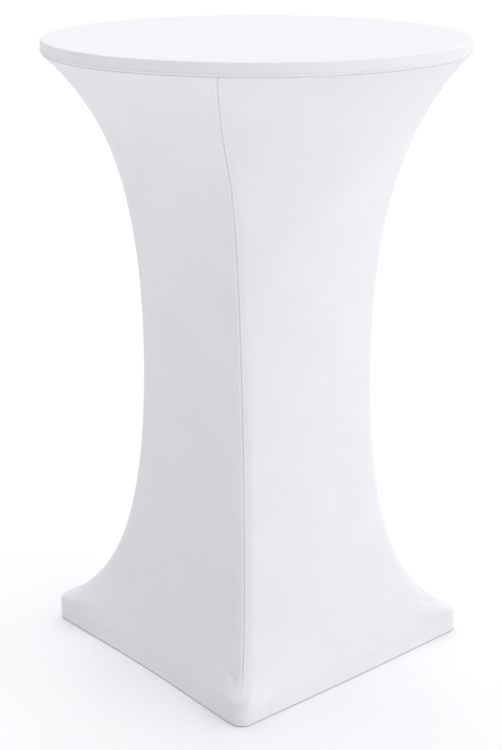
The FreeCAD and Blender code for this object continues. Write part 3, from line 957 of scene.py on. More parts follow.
@dataclass
class MadeUpSkirt:
    """The skirt as it is sewn: the plain shape with its seams, folds, pockets' edges and small puckers.

    A length across a seam is counted from it. Each of the rim fold's waves is a height, a place along the
    side and a width. The dents' strengths go by corner, from the one after the front side.
    """

    shape: SkirtShape
    crease_low: float = 46.0 * MM
    crease_high: float = 84.0 * MM
    allowance: float = 0.60 * MM
    allowance_start: tuple[float, float] = (0.8 * MM, 2.0 * MM)
    allowance_end: tuple[float, float] = (5.2 * MM, 7.8 * MM)
    ridge: float = 0.75 * MM
    ridge_place: float = 2.3 * MM
    ridge_width: float = 1.1 * MM
    groove: float = 1.1 * MM
    groove_width: float = 1.2 * MM
    groove_at_foot: float = 0.2
    pucker: float = 0.20 * MM
    dents: tuple[Swell, ...] = (Swell(-6.5 * MM, 23.0 * MM, 7.5 * MM, 62.0 * MM, 7.5 * MM),
                                Swell(-1.7 * MM, 12.0 * MM, 8.0 * MM, 72.0 * MM, 20.0 * MM))
    toe_swell: Swell = Swell(1.5 * MM, 15.0 * MM, 9.0 * MM, 50.0 * MM, 15.0 * MM)
    dent_strengths: tuple[float, ...] = (1.0, *(0.45 + 0.2 * math.sin(2.1 * corner) for corner in (1, 2, 3)))
    rim_groove: float = 1.7 * MM
    rim_roll: float = 0.35 * MM
    gather: float = 0.18 * MM
    side_width: float = 0.567
    fold_waves: tuple[tuple[float, float, float], ...] = (
        (1.6 * MM, -0.162, 0.010), (-1.0 * MM, -0.122, 0.021), (1.2 * MM, -0.075, 0.014))
    fold_tuck: Swell = Swell(-2.0 * MM, -0.122, 0.020, 2.6 * MM, 1.3 * MM)
    broad_start: tuple[float, float] = (0.05, 0.25)
    broad_end: tuple[float, float] = (0.90, 1.05)
    broad_height: float = 0.55 * MM
    pull_height: float = 0.06 * MM
    hem_height: float = 24.0 * MM
    hem_ridge: float = 0.75 * MM
    hem_dip: float = 0.45 * MM
    hem_ripple: float = 0.22 * MM
    pocket_reach: float = 62.0 * MM
    pocket_step: float = 0.35 * MM
    plain_hem_bow: float = -1.0 * MM
    hem_bow_fall: float = 0.11
    hem_bows: dict[int, float] = field(default_factory=lambda: {
        Side.FRONT.value: -5.0 * MM, Side.RIGHT.value: 2.5 * MM})
    waves: dict[str, Waviness] = field(default_factory=dict)

    def wave(self, name: str, length: float) -> Waviness:
        """One of the skirt's own wavinesses, the same at every call.

        Args:
            name: Its name, which also seeds it.
            length: Its typical wave in metres.

        Returns:
            The waviness.
        """
        if name not in self.waves:
            self.waves[name] = Waviness(sum(ord(letter) * (i + 1) for i, letter in enumerate(name)), length)
        return self.waves[name]

    def offset(self, side: int, run: np.ndarray, z: np.ndarray) -> np.ndarray:
        """How far the made-up cloth stands out from the plain shape.

        Args:
            side: The side's number.
            run: Signed length from the middle of the side.
            z: Heights.

        Returns:
            The offset along the outward normal, in metres.
        """
        half = self.shape.half_length(z)
        total = self.corner_seams(side, half - run, half + run, z) + self.rim(side, run, z)
        return total + self.broad(side, run, z) + self.hem(side, run, z, half)

    def corner_seams(self, side: int, after: np.ndarray, before: np.ndarray, z: np.ndarray) -> np.ndarray:
        """The folded allowance, ridge and groove of the two corner seams, with the dents over the feet.

        Args:
            side: The side's number.
            after: Lengths to the seam after the side.
            before: Lengths to the seam before it.
            z: Heights.

        Returns:
            The offset.
        """
        crease = ease(z, self.crease_low, self.crease_high)
        strip = ease(after, *self.allowance_start) - ease(after, *self.allowance_end)
        valley = bell(after, 0.0, self.groove_width) + bell(before, 0.0, self.groove_width)
        ridge = self.ridge * bell(before, self.ridge_place, self.ridge_width)
        depth = self.groove_at_foot + (1 - self.groove_at_foot) * crease
        total = crease * (self.allowance * strip + ridge) - self.groove * depth * valley
        for label, distance, corner in (("after", after, side), ("before", before, (side + 3) % 4)):
            near = fading(distance, 1.5 * MM, 9.0 * MM)
            total = total + self.pucker * near * self.wave(f"{label}{side}", 10.0 * MM)(z)
            strength = self.dent_strengths[corner]
            for swell in self.dents if label == "after" else (self.toe_swell,):
                total = total + strength * swell.at(distance, z)
        return total

    def rim(self, side: int, run: np.ndarray, z: np.ndarray) -> np.ndarray:
        """The groove and roll of the rim seam, its small gathers, and one fold on the right side.

        Args:
            side: The side's number.
            run: Signed length from the middle of the side.
            z: Heights.

        Returns:
            The offset.
        """
        drop = self.shape.rim_z - z
        total = self.rim_roll * bell(drop, 4.5 * MM, 2.2 * MM) - self.rim_groove * bell(drop, 0.0, 1.0 * MM)
        gathers = self.wave("gather", 13.0 * MM)(run + side * self.side_width)
        total = total + self.gather * gathers * fading(drop, 2.0 * MM, 13.0 * MM)
        if side == Side.RIGHT.value:
            fold = sum(height * bell(run, place, width) for height, place, width in self.fold_waves)
            total = total + fold * fading(drop, 2.5 * MM, 15.0 * MM) + self.fold_tuck.at(run, drop)
        return total

    def broad(self, side: int, run: np.ndarray, z: np.ndarray) -> np.ndarray:
        """Wide soft undulations, strongest halfway up, with long faint pull lines down the panel.

        Args:
            side: The side's number.
            run: Signed length from the middle of the side.
            z: Heights.

        Returns:
            The offset.
        """
        fade = ease(z, *self.broad_start) * (1 - ease(z, *self.broad_end))
        level = self.wave(f"level{side}", 0.26)(z + 0.3 * run)
        level = level * self.wave(f"cross{side}", 0.16)(run + 0.15 * z)
        pull = self.wave(f"pull{side}", 0.045)(run * (1.0 + 0.5 * (z - 0.5)))
        return fade * (self.broad_height * level + self.pull_height * pull)

    def hem(self, side: int, run: np.ndarray, z: np.ndarray, half: np.ndarray) -> np.ndarray:
        """The turned-up hem pressing through, its stitch line, its rolled edge and the pockets' edges.

        Args:
            side: The side's number.
            run: Signed length from the middle of the side.
            z: Heights.
            half: Length of half the side, at those heights.

        Returns:
            The offset.
        """
        rise = z - self.shape.hem_edge
        inward = half - np.abs(run)
        between = ease(inward, self.pocket_reach - 2 * MM, self.pocket_reach + 2 * MM)
        ridge = self.hem_ridge * (1 - ease(rise, self.hem_height - 2.5 * MM, self.hem_height + 2.5 * MM))
        stitched = -self.hem_dip * bell(rise, self.hem_height - 4.0 * MM, 1.2 * MM)
        ripple = self.hem_ripple * self.wave(f"hem{side}", 9.0 * MM)(run) * (1 - ease(rise, 8 * MM, 40 * MM))
        top = self.shape.pocket_top
        edge = self.pocket_step * (1 - between) * (1 - ease(z, top - 2 * MM, top + 2 * MM))
        line = -self.pocket_step * bell(inward, self.pocket_reach, 1.4 * MM)
        line = line * (1 - ease(z, top - MM, top + MM))
        return between * (ridge + stitched + ripple) + edge + line

    def base(self, side: int, run: np.ndarray, z: np.ndarray, lift: float | np.ndarray = 0.0) -> np.ndarray:
        """Points of the skirt without its seams and folds, for what lies inside it.

        Args:
            side: The side's number.
            run: Signed length from the middle of the side.
            z: Heights, of the same shape.
            lift: How far outside the plain face the points are, or inside where it is negative.

        Returns:
            An array of points.
        """
        run, z = np.broadcast_arrays(np.asarray(run, dtype=float), np.asarray(z, dtype=float))
        bow = self.hem_bows.get(side, self.plain_hem_bow)
        share = np.clip(np.abs(run) / self.shape.half_length(z), 0.0, 1.0)
        bow = bow * (1 - share ** 2) ** 2 * np.exp(-(z - self.shape.hem_edge) / self.hem_bow_fall)
        return self.shape.points(side, run, z) + self.shape.outward(side, run, z) * (bow + lift)[..., None]

    def surface(self, side: int, run: np.ndarray, z: np.ndarray, lift: float | np.ndarray = 0.0) -> np.ndarray:
        """Points of the made-up cloth.

        Args:
            side: The side's number.
            run: Signed length from the middle of the side.
            z: Heights, of the same shape.
            lift: How far outside the cloth's face the points are, or inside where it is negative.

        Returns:
            An array of points.
        """
        run, z = np.broadcast_arrays(np.asarray(run, dtype=float), np.asarray(z, dtype=float))
        return self.base(side, run, z, self.offset(side, run, z) + lift)

    def round_seam(self, side: int, distance: np.ndarray, z: np.ndarray, lift: float | np.ndarray = 0.0,
                   made_up: bool = False) -> np.ndarray:
        """Points at a distance back from the seam after a side, or on the next side where it is negative.

        Args:
            side: The side before the seam.
            distance: Lengths back along that side, below zero for the next side.
            z: Heights, of the same shape.
            lift: As in base() or surface().
            made_up: Whether the points are on the made-up cloth rather than on the plain shape.

        Returns:
            An array of points.
        """
        distance, z = np.broadcast_arrays(np.asarray(distance, dtype=float), np.asarray(z, dtype=float))
        half = self.shape.half_length(z)
        follow = self.surface if made_up else self.base
        here = follow(side, half - np.maximum(distance, 0.0), z, lift)
        there = follow((side + 1) % 4, -half - np.minimum(distance, 0.0), z, lift)
        return np.where((distance >= 0)[..., None], here, there)


# ---------------------------------------------------------------- stitches


def start_tree(name: str, inputs: Sequence[tuple[str, str]]) -> tuple[NodePen, Any]:
    """Starts a Geometry Nodes tree that takes a carrier's geometry.

    Args:
        name: The tree's name.
        inputs: Name and socket type of each further input.

    Returns:
        A pen for the tree and its inputs' sockets.
    """
    tree = bpy.data.node_groups.new(name, "GeometryNodeTree")
    tree.is_modifier = True
    tree.interface.new_socket("Geometry", in_out="INPUT", socket_type="NodeSocketGeometry")
    for label, kind in inputs:
        tree.interface.new_socket(label, in_out="INPUT", socket_type=kind)
    tree.interface.new_socket("Geometry", in_out="OUTPUT", socket_type="NodeSocketGeometry")
    pen = NodePen(tree)
    return pen, pen.add("NodeGroupInput").outputs


def end_tree(pen: NodePen, given: Any, points: bpy.types.NodeSocket, shape: bpy.types.NodeSocket,
             **placing: bpy.types.NodeSocket) -> bpy.types.NodeTree:
    """Sets a shape on every point, makes it real and gives it its material.

    Args:
        pen: The tree's pen.
        given: The tree's inputs.
        points: Where the shapes go.
        shape: What goes there.
        placing: Its rotation and scale.

    Returns:
        The finished tree.
    """
    laid = pen.add("GeometryNodeInstanceOnPoints", {"Points": points, "Instance": shape, **placing}).outputs[0]
    real = pen.add("GeometryNodeRealizeInstances", {0: laid}).outputs[0]
    done = pen.add("GeometryNodeSetMaterial", {0: real, "Material": given["Material"]}).outputs[0]
    pen.add("NodeGroupOutput", {0: done})
    return pen.tree


def grow_stitch_tree() -> bpy.types.NodeTree:
    """Builds the Geometry Nodes tree that lays one rounded stitch on every edge of a line.

    Returns:
        The tree, with inputs for the thread's radius, its unevenness, a seed and a material.
    """
    pen, given = start_tree("stitch_run", (
        ("Thread Radius", "NodeSocketFloat"), ("Unevenness", "NodeSocketFloat"), ("Seed", "NodeSocketInt"),
        ("Material", "NodeSocketMaterial")))
    ends = pen.add("GeometryNodeInputMeshEdgeVertices").outputs
    along = pen.add("ShaderNodeVectorMath", {0: ends[3], 1: ends[2]}, operation="SUBTRACT").outputs[0]
    capture = pen.add("GeometryNodeCaptureAttribute", {0: given["Geometry"]}, domain="EDGE")
    capture.capture_items.new("VECTOR", "Along")
    pen.tree.links.new(along, capture.inputs[1])
    kept = capture.outputs[1]
    points = pen.add("GeometryNodeMeshToPoints", {0: capture.outputs[0]}, mode="EDGES").outputs[0]
    turn = pen.add("FunctionNodeAlignRotationToVector", {"Vector": kept}, axis="Z").outputs[0]
    length = pen.add("ShaderNodeVectorMath", {0: kept}, operation="LENGTH").outputs["Value"]
    low = pen.math("SUBTRACT", 1.0, given["Unevenness"])
    high = pen.math("ADD", 1.0, given["Unevenness"])
    uneven = pen.add("FunctionNodeRandomValue", {2: low, 3: high, "Seed": given["Seed"]}).outputs[1]
    radius = pen.math("MULTIPLY", given["Thread Radius"], uneven)
    reach = pen.math("MULTIPLY", length, 0.5)
    size = pen.add("ShaderNodeCombineXYZ", {0: radius, 1: radius, 2: reach}).outputs[0]
    bead = pen.add("GeometryNodeMeshUVSphere", {"Segments": 6, "Rings": 5, "Radius": 1.0}).outputs[0]
    smooth = pen.add("GeometryNodeSetShadeSmooth", {0: bead}).outputs[0]
    return end_tree(pen, given, points, smooth, Rotation=turn, Scale=size)


def grow_fastener_tree() -> bpy.types.NodeTree:
    """Builds the Geometry Nodes tree that sets one fastener, turned at random, on every point.

    Returns:
        The tree, with inputs for the fastener, the widest random turn, a seed and a material.
    """
    pen, given = start_tree("fastener_set", (
        ("Fastener", "NodeSocketObject"), ("Widest Turn", "NodeSocketFloat"), ("Seed", "NodeSocketInt"),
        ("Material", "NodeSocketMaterial")))
    points = pen.add("GeometryNodeMeshToPoints", {0: given["Geometry"]}, mode="VERTICES").outputs[0]
    shape = pen.add("GeometryNodeObjectInfo", {"Object": given["Fastener"]}).outputs["Geometry"]
    angle = pen.add("FunctionNodeRandomValue",
                    {2: 0.0, 3: given["Widest Turn"], "Seed": given["Seed"]}).outputs[1]
    euler = pen.add("ShaderNodeCombineXYZ", {2: angle}).outputs[0]
    turn = pen.add("FunctionNodeEulerToRotation", {0: euler}).outputs[0]
    return end_tree(pen, given, points, shape, Rotation=turn)


def run_tree(name: str, carrier: bpy.types.Object, tree: bpy.types.NodeTree, **inputs: Any
             ) -> bpy.types.Object:
    """Runs a tree once on a carrier and keeps the mesh that it makes.

    Args:
        name: Name of the finished object.
        carrier: The object that holds the points or edges; it is removed.
        tree: The tree.
        inputs: Values of the tree's inputs, by name with underscores for spaces.

    Returns:
        A plain mesh object.
    """
    modifier = carrier.modifiers.new("repeat", "NODES")
    modifier.node_group = tree
    sockets = {item.name: item.identifier for item in tree.interface.items_tree if item.in_out == "INPUT"}
    for key, value in inputs.items():
        modifier[sockets[key.replace("_", " ")]] = value
    bpy.context.view_layer.update()
    graph = bpy.context.evaluated_depsgraph_get()
    mesh = bpy.data.meshes.new_from_object(carrier.evaluated_get(graph), depsgraph=graph)
    carrier.modifiers.remove(modifier)
    bpy.data.objects.remove(carrier)
    mesh.name = name
    piece = bpy.data.objects.new(name, mesh)
    bpy.context.scene.collection.objects.link(piece)
    return piece


@dataclass
class StitchRun:
    """One sewing thread along one or more lines on the cloth."""

    name: str
    lines: list[np.ndarray]
    kind: StitchKind = StitchKind.STRAIGHT
    pitch: float = 3.1 * MM
    cover: float = 0.82
    radius: float = 0.24 * MM

    def edges(self) -> tuple[np.ndarray, list[tuple[int, int]]]:
        """Lays the stitches out.

        Returns:
            The stitches' end points and, for each stitch, its two ends' numbers.
        """
        ends: list[np.ndarray] = []
        for index, line in enumerate(self.lines):
            zigzag = self.kind is StitchKind.ZIGZAG
            if zigzag and index % 2:
                continue
            other = self.lines[index + 1] if zigzag else line
            length = lengths_along(line)
            count = max(2, int(round(length[-1] / self.pitch)))
            starts = np.linspace(0.0, length[-1], count + 1)
            for i in range(count):
                first, last = starts[i], starts[i + 1] - (1 - self.cover) * (starts[i + 1] - starts[i])
                near, far = (line, other) if i % 2 == 0 else (other, line)
                ends.append(np.array([np.interp(first, length, near[:, axis]) for axis in range(3)]))
                ends.append(np.array([np.interp(last, length, far[:, axis]) for axis in range(3)]))
        return np.array(ends), [(2 * i, 2 * i + 1) for i in range(len(ends) // 2)]

    def build(self, tree: bpy.types.NodeTree, wardrobe: Wardrobe, seed: int) -> bpy.types.Object:
        """Makes the thread.

        Args:
            tree: The stitch tree.
            wardrobe: Where the thread's finish is.
            seed: Seed of its unevenness.

        Returns:
            The thread, riding the cover.
        """
        points, edges = self.edges()
        mesh = bpy.data.meshes.new(self.name + "_line")
        mesh.from_pydata([tuple(p) for p in points], edges, [])
        carrier = bpy.data.objects.new(self.name + "_line", mesh)
        bpy.context.scene.collection.objects.link(carrier)
        piece = run_tree(self.name, carrier, tree, Thread_Radius=self.radius, Unevenness=0.1, Seed=seed,
                         Material=wardrobe.get("white_thread"))
        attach(piece, COVER)
        return piece


# ---------------------------------------------------------------- the cover's pieces


def finish_sheet(piece: bpy.types.Object, wardrobe: Wardrobe, slot: str, thickness: float,
                 *nodes: str) -> None:
    """Gives a sheet of the cover its finish, its thickness and its place in the model.

    Args:
        piece: The sheet.
        wardrobe: Where its finish is.
        slot: The finish's slot.
        thickness: Its thickness in metres.
        nodes: The solids that it stands for.
    """
    piece.data.materials.append(wardrobe.get(slot))
    thicken(piece, thickness)
    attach(piece, COVER)
    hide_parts(*nodes)


@dataclass
class CoverCap:
    """The round cap stretched over the tabletop and down its edge to the rim seam.

    The knot is a small lump of seam allowance; it lies across at an angle and up above the rim seam.
    """

    shape: SkirtShape
    columns: int = 480
    edge_radius: float = 3.0 * MM
    thickness: float = 0.8 * MM
    cut: tuple[float, float] = (0.73, 0.73)
    cut_area: float = 0.4185
    stitch_rise: float = 3.4 * MM
    stitch_dip: float = 0.20 * MM
    lip: float = 0.95 * MM
    groove: float = 1.9 * MM
    wall_wave: float = 0.16 * MM
    seam_wave: float = 0.06 * MM
    knot: Swell = Swell(0.8 * MM, math.radians(40.5), math.radians(0.9), 9 * MM, 5 * MM)

    def wall(self, angle: np.ndarray, z: np.ndarray) -> np.ndarray:
        """How far the cap's wall stands out at an angle and a height.

        Args:
            angle: Azimuths counterclockwise from the front, in radians.
            z: Heights.

        Returns:
            The offset from the plain radius.
        """
        rise = z - self.shape.rim_z
        soft = Waviness(41, 0.050)(angle * self.shape.cover_radius)
        fine = Waviness(43, 0.012)(angle * self.shape.cover_radius)
        lip = self.lip * bell(rise, 2.9 * MM, 1.5 * MM) - self.groove * bell(rise, 0.0, 0.9 * MM)
        stitched = -self.stitch_dip * bell(rise, self.stitch_rise, 0.5 * MM)
        waves = self.wall_wave * soft * bell(rise, 12 * MM, 9 * MM) \
            + self.seam_wave * fine * bell(rise, 4 * MM, 4 * MM)
        return waves + lip + stitched + self.knot.at(angle, rise)

    def points(self, angle: np.ndarray, lift: float = 0.0) -> tuple[np.ndarray, np.ndarray]:
        """The cap's rings, from its seam up and in to near its centre.

        Args:
            angle: The columns' azimuths.
            lift: How far outside the cloth they are.

        Returns:
            The points as rows by columns by three, and the length along the cloth of each row.
        """
        radius, top, bend = self.shape.cover_radius, frame_top(), self.edge_radius
        heights = graded(self.shape.rim_z, top - bend, 1.0 * MM, ((self.shape.rim_z, 0.25 * MM, 0.08),))
        levels = [np.full_like(angle, height) for height in heights]
        rows = [(radius + self.wall(angle, level) + lift, level) for level in levels]
        ripple = 0.10 * MM * Waviness(47, 0.035)(angle * radius)
        for turn in np.linspace(0.0, math.pi / 2, 9)[1:]:
            out = radius - bend + (bend + lift) * math.cos(turn) + ripple * math.sin(2 * turn)
            rows.append((out, np.full_like(angle, top - bend + (bend + lift) * math.sin(turn))))
        for share in np.linspace(1.0, 0.0, 22)[1:-1]:
            reach = (radius - bend) * share
            dip = 0.12 * MM * Waviness(53, 0.22)(reach * np.cos(angle))
            dip = dip * Waviness(59, 0.2)(reach * np.sin(angle))
            rows.append((np.full_like(angle, reach), top - np.abs(dip) * (1 - share ** 8) + lift))
        grid = np.array([np.stack([r * np.sin(angle), -r * np.cos(angle), z * np.ones_like(angle)], axis=-1)
                         for r, z in rows])
        return grid, lengths_along(grid[:, 0])

    def build(self, wardrobe: Wardrobe) -> bpy.types.Object:
        """Makes the cap's cloth.

        Args:
            wardrobe: Where its finish is.

        Returns:
            The cap.
        """
        angle = np.linspace(0.0, 2 * math.pi, self.columns, endpoint=False)
        grid, length = self.points(angle)
        rows = len(grid)
        points = np.concatenate([grid.reshape(-1, 3), [[0.0, 0.0, frame_top() - 0.05 * MM]]])
        faces: list[Sequence[int]] = list(grid_faces(rows, self.columns, wrap=True))
        last = (rows - 1) * self.columns
        faces += [(last + c, last + (c + 1) % self.columns, len(points) - 1) for c in range(self.columns)]
        flat_reach = length[-1] + np.linalg.norm(grid[-1, 0, :2]) - length
        uvs = np.concatenate([
            (flat_reach[:, None, None] * np.stack([np.cos(angle), np.sin(angle)], axis=-1)).reshape(-1, 2),
            [[0.0, 0.0]]])
        piece = mesh_object("cap_cloth", points, faces, uvs)
        finish_sheet(piece, wardrobe, "white_stretch_cloth", self.thickness, "cap")
        return piece

    def topstitch(self) -> np.ndarray:
        """The line of stitches just above the rim seam.

        Returns:
            Its points, closed on the first.
        """
        angle = np.linspace(0.0, 2 * math.pi, 1441)
        z = np.full_like(angle, self.shape.rim_z + self.stitch_rise)
        radius = self.shape.cover_radius + self.wall(angle, z) + 0.10 * MM
        return np.stack([radius * np.sin(angle), -radius * np.cos(angle), z], axis=-1)


def frame_top() -> float:
    """Height of the cover's top face.

    Returns:
        The height in metres.
    """
    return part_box("cap")[1][2]


@dataclass
class SkirtPanel:
    """One side of the skirt, from the rim seam down to the rolled lower edge, in one piece of cloth."""

    skirt: MadeUpSkirt
    side: Side
    margin: float = 13.0 * MM
    floor_gap: float = 0.6 * MM
    thickness: float = 0.75 * MM
    cut: tuple[float, float] = (0.50, 1.00)
    cut_area: float = 0.36

    def rows(self) -> tuple[np.ndarray, np.ndarray]:
        """Heights of the rows and how far inside the outer face each lies, from the rolled edge up.

        Returns:
            The heights and the depths.
        """
        low = self.floor_gap
        roll = 1.1 * MM
        turns = np.linspace(-math.pi / 2, 0.0, 5)[:-1]
        rolled = [(low + 0.5 * MM + roll * (1 + math.sin(a)), -roll * (1 - math.cos(a))) for a in turns]
        spots = ((0.0, 1.1 * MM, 0.03), (0.026, 0.9 * MM, 0.10), (self.skirt.shape.pocket_top, 0.8 * MM, 0.12),
                 (self.skirt.shape.rim_z, 0.45 * MM, 0.05), (0.07, 2.0 * MM, 0.05))
        heights = graded(low + 0.5 * MM + roll, self.skirt.shape.rim_z, 4.6 * MM, spots)
        z = np.concatenate([[r[0] for r in rolled], heights])
        depth = np.concatenate([[r[1] for r in rolled], np.zeros(len(heights))])
        return z, depth

    def columns(self) -> tuple[np.ndarray, np.ndarray]:
        """Places of the columns: distances from a seam near the two seams, and shares of the rest between.

        Returns:
            The distances and the shares.
        """
        near = np.array([0.0, 0.35, 0.7, 1.05, 1.4, 1.8, 2.2, 2.7, 3.4, 4.4, 5.2, 5.9, 6.6, 7.4, 8.6,
                         10.0, 11.5]) * MM
        shares = np.linspace(-1.0, 1.0, 66)
        return near, shares

    def build(self, wardrobe: Wardrobe) -> bpy.types.Object:
        """Makes the panel.

        Args:
            wardrobe: Where its finish is.

        Returns:
            The panel.
        """
        z, depth = self.rows()
        near, shares = self.columns()
        half = self.skirt.shape.half_length(z)[:, None]
        run = np.concatenate([
            -half + near[None, :],
            shares[None, :] * (half - self.margin),
            half - near[None, ::-1],
        ], axis=1)
        heights = np.repeat(z[:, None], run.shape[1], axis=1)
        grid = self.skirt.surface(self.side.value, run, heights, depth[:, None])
        length = lengths_along(grid[:, run.shape[1] // 2])
        uvs = np.stack([run, np.repeat(length[:, None], run.shape[1], axis=1)], axis=-1).reshape(-1, 2)
        piece = mesh_object(f"skirt_cloth_{self.side.label}", grid.reshape(-1, 3), grid_faces(*run.shape), uvs)
        finish_sheet(piece, wardrobe, "white_stretch_cloth", self.thickness, f"skirt_{self.side.label}")
        return piece


@dataclass
class InnerStrip:
    """A strip of cloth, tape or elastic inside the skirt, over one side between two runs or round a seam."""

    name: str
    skirt: MadeUpSkirt
    side: int
    slot: str
    nodes: tuple[str, ...]
    z: np.ndarray
    lift: np.ndarray
    across: np.ndarray
    round_seam: bool = False
    thickness: float = 0.7 * MM
    relax: float = 1.0

    def build(self, wardrobe: Wardrobe) -> bpy.types.Object:
        """Makes the strip.

        Args:
            wardrobe: Where its finish is.

        Returns:
            The strip.
        """
        z = np.repeat(self.z[:, None], len(self.across), axis=1)
        lift = np.repeat(self.lift[:, None], len(self.across), axis=1)
        if self.round_seam:
            distance = np.repeat(self.across[None, ::-1], len(self.z), axis=0)
            grid = self.skirt.round_seam(self.side, distance, z, lift)
        else:
            run = np.repeat(self.across[None, :], len(self.z), axis=0)
            quiet = self.skirt.hem(self.side, run, z, self.skirt.shape.half_length(z))
            grid = self.skirt.base(self.side, run, z, lift + np.minimum(quiet, 0.0))
        up = lengths_along(grid[:, 0])
        wide = lengths_along(grid[0])
        uvs = np.stack(np.meshgrid(wide, up), axis=-1).reshape(-1, 2)
        piece = mesh_object(self.name, grid.reshape(-1, 3), grid_faces(*z.shape), uvs)
        finish_sheet(piece, wardrobe, self.slot, self.thickness, *self.nodes)
        return piece


@dataclass
class FootPocket:
    """The lining of a pocket round a foot, with the sole that hooks under the foot."""

    skirt: MadeUpSkirt
    side: Side
    reach: float = 61.0 * MM
    columns: int = 61
    thickness: float = 0.5 * MM
    cut: tuple[float, float] = (0.115, 0.085)
    cut_area: float = 0.0068

    def build(self, wardrobe: Wardrobe) -> bpy.types.Object:
        """Makes the lining and its sole as one piece of doubled cloth.

        Args:
            wardrobe: Where its finish is.

        Returns:
            The pocket's lining.
        """
        shape = self.skirt.shape
        distance = np.linspace(-self.reach, self.reach, self.columns)[::-1]
        heights = np.concatenate([[shape.hem_edge + 0.6 * MM, shape.hem_edge + 1.0 * MM], np.linspace(
            shape.hem_edge + 2.2 * MM, shape.pocket_top - 1.2 * MM, 15)])
        inside = np.concatenate([[-2.2 * MM, -1.35 * MM], np.full(15, -0.95 * MM)])
        wall = self.skirt.round_seam(self.side.value, distance[None, :], heights[:, None], inside[:, None])
        rim = wall[0]
        share = np.linspace(0.0, 1.0, self.columns)[:, None]
        chord = rim[0] * (1 - share) + rim[-1] * share
        sole = [chord * t + rim * (1 - t) for t in np.linspace(1.0, 0.0, 9)[:-1]]
        grid = np.concatenate([np.array(sole), wall])
        up = lengths_along(grid[:, self.columns // 2])
        uvs = np.stack(np.meshgrid(-distance, up), axis=-1).reshape(-1, 2)
        piece = mesh_object(f"pocket_lining_{self.side.corner}", grid.reshape(-1, 3),
                            grid_faces(len(grid), self.columns), uvs)
        finish_sheet(piece, wardrobe, "pocket_cloth", self.thickness, f"foot_pocket_{self.side.corner}")
        return piece


